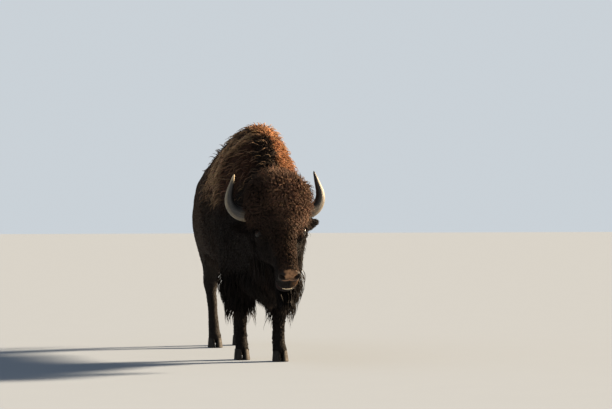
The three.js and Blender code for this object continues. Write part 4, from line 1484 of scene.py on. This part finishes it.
def tooth_material():
    n = Nodes("tooth")
    grain = n.attribute("grain_v", "Vector")
    streak = n.noise(6.0, n.scaled(grain, (4.0, 4.0, 0.8)), 3.0, 0.6)
    colour = n.blend(n.ramp(streak, 0.3, 0.7), (0.62, 0.53, 0.38), (0.80, 0.73, 0.58))
    root = n.ramp(n.add("SeparateXYZ", {0: grain})[2], 0.0, 0.35, 1.0, 0.0)
    return n.surface(Base_Color=n.blend(root, colour, (0.22, 0.13, 0.06)),
                     Normal=n.bump(streak, 0.0004, 0.5), Roughness=0.22, Specular_IOR_Level=0.5)


TEETH, TOOTH_SPACING, TOOTH_HEIGHT = 8, 0.0086, 0.034


def make_teeth():
    """The eight spade-shaped cutting teeth, which cattle have only in the lower jaw."""
    work = bmesh.new()
    grain = []
    t, a = round_and_along(np.linspace(0, 1, 12), 16)
    middle = (TEETH - 1) / 2
    for k in range(TEETH):
        place = (k - middle) * TOOTH_SPACING
        root = np.array([place + 0.010, -0.019 + 9.0 * place**2, -0.239])
        fan = unit([place * 6.0, -0.38, 1.0])
        out = unit([place * 9.0, -1.0, -0.3])
        aside = unit(np.cross(fan, out))
        out = np.cross(aside, fan)
        wide = mix(0.0030, 0.0048, t**0.7) * np.sqrt(np.clip((1.02 - t) / 0.10, 0.05, 1))
        thick = mix(0.0042, 0.0016, t)
        height = TOOTH_HEIGHT - 0.006 * abs(k - middle) / middle + 0.002 * math.sin(5.1 * k)
        points = placed(root, (fan, t * height), (aside, np.cos(a) * wide),
                        (out, np.sin(a) * thick))
        mesh = closed_tube("tooth", from_head(points))
        work.from_mesh(mesh)
        bpy.data.meshes.remove(mesh)
        grain += [row(np.cos(a) + k, np.sin(a), t).reshape(-1, 3), [[k, 0, 0], [k, 0, 1]]]
    mesh = mesh_from(work, "teeth")
    set_attribute(mesh, "grain_v", np.concatenate(grain))
    finish_piece(mesh, tooth_material(), "horn")


def tongue_material():
    n = Nodes("tongue")
    bumps = n.add("TexVoronoi", {"Scale": 520.0, "Vector": n.position()})["Distance"]
    blotch = n.ramp(n.noise(45.0, n.position(), 3.0), 0.35, 0.65)
    return n.surface(Base_Color=n.blend(blotch, (0.030, 0.015, 0.016), (0.075, 0.034, 0.032)),
                     Normal=n.bump(bumps, 0.0008, 0.6), Roughness=0.35, Specular_IOR_Level=0.5)


def make_tongue():
    """A thick tongue that lies on the floor of the mouth behind the teeth."""
    t, a = round_and_along(np.linspace(0, 1, 30), 32)
    y = mix(0.135, 0.004, t)
    tip = np.sqrt(np.clip((1.01 - t) / 0.22, 0.02, 1))
    wide = mix(0.050, 0.036, t) * tip
    thick = mix(0.012, 0.009, t) * tip
    bed = np.interp(y, [0.0, 0.06, 0.112, 0.14], [-0.226, -0.212, -0.180, -0.172]) + 0.002
    groove = 0.0035 * bell(np.cos(a), 0, 0.22) * (np.sin(a) > 0)
    edge = np.abs(np.cos(a)) ** 0.8 * np.sign(np.cos(a))
    points = row(edge * wide, y, bed + np.sin(a) * thick - groove * tip)
    mesh = closed_tube("tongue", from_head(points), flip=True)
    finish_piece(mesh, tongue_material(), "hide")


HORN = horn_material()
EYE_GLOSS = eye_material()
LEATHER = leather_material()
# The right horn's cream tip is a painted highlight; the left horn's tip is black.
for side, label, tip in ((1, "left", HORN_BLACK), (-1, "right", CREAM * 1.1)):
    make_horn(side, label, tip)
    make_eye(side, label)
    make_lids(side, label)
    make_ear(side, label)
make_teeth()
make_tongue()

# ---------------------------------------------------------------- hooves and dewclaws

HOOF_HEIGHT, HOOF_LENGTH, HOOF_WIDTH = 0.082, 0.128, 0.058
TOE_GAP = 0.007


def hoof_material():
    n = Nodes("hoof")
    rings = n.noise(1.0, n.scaled(n.position(), (9.0, 9.0, 260.0)))
    streak = n.noise(90.0, n.scaled(n.position(), (1.0, 1.0, 0.12)), 4.0)
    colour = n.blend(n.ramp(streak, 0.3, 0.7), (0.010, 0.009, 0.008), (0.034, 0.029, 0.025))
    wear_and_shade = n.ramp(n.add("SeparateXYZ", {0: n.position()})[2], 0.0, 0.018, 1.0, 0.0)
    colour = n.blend(n.math("MULTIPLY", wear_and_shade, 0.6), colour, (0.050, 0.042, 0.034))
    return n.surface(Base_Color=colour, Roughness=n.ramp(rings, 0.3, 0.7, 0.55, 0.8),
                     Normal=n.bump(rings, 0.0012, 0.8), Specular_IOR_Level=0.2)


def make_hoof(label):
    """One toe: flat below with a rounded edge, straight inside, and a sloping front wall."""
    low, high = (np.array(corner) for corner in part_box(f"hoof_{label}"))
    sign = np.sign(low[0] + high[0]) * (1 if label.endswith("outer") else -1)
    t, a = round_and_along(np.linspace(0, 1, 26), 48)
    shrink = mix(1.0, 0.74, t) * (1 - 0.05 * np.exp(-t / 0.03)) + 0.012 * np.sin(math.pi * t)
    outward = np.cos(a)
    wide = np.where(outward > 0, 0.62, 0.38) * HOOF_WIDTH
    long = HOOF_LENGTH / 2 * np.where(np.sin(a) < 0, 1.08, 0.92)
    point = np.where(np.sin(a) < 0, np.abs(np.sin(a)) ** 3 * HOOF_WIDTH * 0.16, 0)
    x = outward * wide * shrink - point + HOOF_WIDTH * 0.38 + TOE_GAP / 2
    y = np.sin(a) * long * shrink + t * 0.016
    points = row(sign * x, y, t * HOOF_HEIGHT) * [0.985, 0.985, 1]
    flat = points.reshape(-1, 3)
    points = points + ((low + high) / 2 - (flat.min(0) + flat.max(0)) / 2) * [1, 1, 0]
    mesh = closed_tube(f"toe_{label}", points, flip=sign < 0)
    finish_piece(mesh, HOOF, "hoof", f"hoof_{label}")


DEWCLAW_PLACE = (0.026, 0.052, 0.132)  # aside of the foot's middle, behind it, and up
DEWCLAW_PITCH, DEWCLAW_SPLAY = math.radians(152), 0.25


def make_dewclaws():
    """Two small claws behind each fetlock."""
    work = bmesh.new()
    aside, behind, high = DEWCLAW_PLACE
    for foot in FEET.values():
        for side in (-1, 1):
            where = Vector((foot[0] + side * aside, foot[1] + behind, high))
            turn = Matrix.Rotation(DEWCLAW_PITCH, 4, "X")
            turn = turn @ Matrix.Rotation(side * DEWCLAW_SPLAY, 4, "Y")
            shape = Matrix.Translation(where) @ turn
            bmesh.ops.create_cone(work, cap_ends=True, segments=24, radius1=0.017, radius2=0.006,
                                  depth=0.046, matrix=shape)
    bmesh.ops.bevel(work, geom=list(work.edges), offset=0.003, segments=2, affect="EDGES")
    finish_piece(mesh_from(work, "dewclaws"), HOOF, "hoof")


HOOF = hoof_material()
for leg in LEGS:
    for toe in ("inner", "outer"):
        make_hoof(f"{leg}_{toe}")
make_dewclaws()

# ---------------------------------------------------------------- light, floor and camera


def plain_material(name, colour):
    n = Nodes(name)
    grain = n.noise(3.0, n.position(), 2.0)
    tint = n.blend(n.ramp(grain, 0.3, 0.7, 0.0, 0.06), colour, [0.9 * c for c in colour])
    return n.surface(Base_Color=tint, Roughness=1.0, Specular_IOR_Level=0.0)


FLOOR_REACH = 60
WORLD_LIGHT = 0.23  # what the surroundings shine on the model
BACKDROP = 0.72  # how bright the plain backdrop looks


def make_stage():
    corners = FLOOR_REACH * np.array([[-1, -1, 0], [1, -1, 0], [1, 1, 0], [-1, 1, 0]])
    floor = new_object("floor", mesh_of("floor", corners, np.array([[0, 1, 2, 3]])))
    floor.data.materials.append(plain_material("studio_floor", (0.32, 0.375, 0.46)))
    world = bpy.data.worlds.new("studio")
    world.use_nodes = True
    tree = world.node_tree
    glow = tree.nodes["Background"].inputs
    glow["Color"].default_value = (0.82, 0.89, 0.95, 1)
    seen = tree.nodes.new("ShaderNodeLightPath").outputs["Is Camera Ray"]
    level = tree.nodes.new("ShaderNodeMapRange")
    level.inputs["To Min"].default_value = WORLD_LIGHT
    level.inputs["To Max"].default_value = BACKDROP
    tree.links.new(seen, level.inputs["Value"])
    tree.links.new(level.outputs["Result"], glow["Strength"])
    bpy.context.scene.world = world
    bpy.context.scene.view_settings.view_transform = "Standard"


def add_sun(name, toward, colour, strength, softness):
    """A soft light that comes from one direction: azimuth from the camera's line, and height."""
    azimuth, height = (math.radians(v) for v in toward)
    turn = VIEW_AZIMUTH + azimuth
    source = Vector((math.sin(turn) * math.cos(height), -math.cos(turn) * math.cos(height),
                     math.sin(height)))
    lamp = bpy.data.objects.new(name, bpy.data.lights.new(name, "SUN"))
    lamp.data.energy = strength
    lamp.data.color = colour
    lamp.data.angle = math.radians(softness)
    lamp.rotation_euler = source.to_track_quat("Z", "Y").to_euler()
    bpy.context.scene.collection.objects.link(lamp)


VIEW_AZIMUTH = math.radians(12)  # the camera stands this far to the bison's right of straight ahead
CAMERA_DISTANCE = 14.0
CAMERA_HEIGHT = 1.173
CAMERA_TURN = math.radians(1.36)  # the camera looks this far to the right of the shoulder
LENS, SENSOR = 108.9, 36.0


def make_camera():
    camera = bpy.data.objects.new("camera", bpy.data.cameras.new("camera"))
    camera.data.lens = LENS
    camera.data.sensor_width = SENSOR
    away = Vector((-math.sin(VIEW_AZIMUTH), -math.cos(VIEW_AZIMUTH), 0))
    camera.location = Vector(SHOULDER) + away * CAMERA_DISTANCE + Vector((0, 0, CAMERA_HEIGHT))
    camera.rotation_euler = (math.pi / 2, 0, -VIEW_AZIMUTH - CAMERA_TURN)
    bpy.context.scene.collection.objects.link(camera)
    bpy.context.scene.camera = camera


make_stage()
add_sun("key", (88, 21), (1.0, 0.76, 0.50), 17.0, 8)
add_sun("fill", (-100, 45), (0.80, 0.90, 1.0), 0.35, 60)
make_camera()
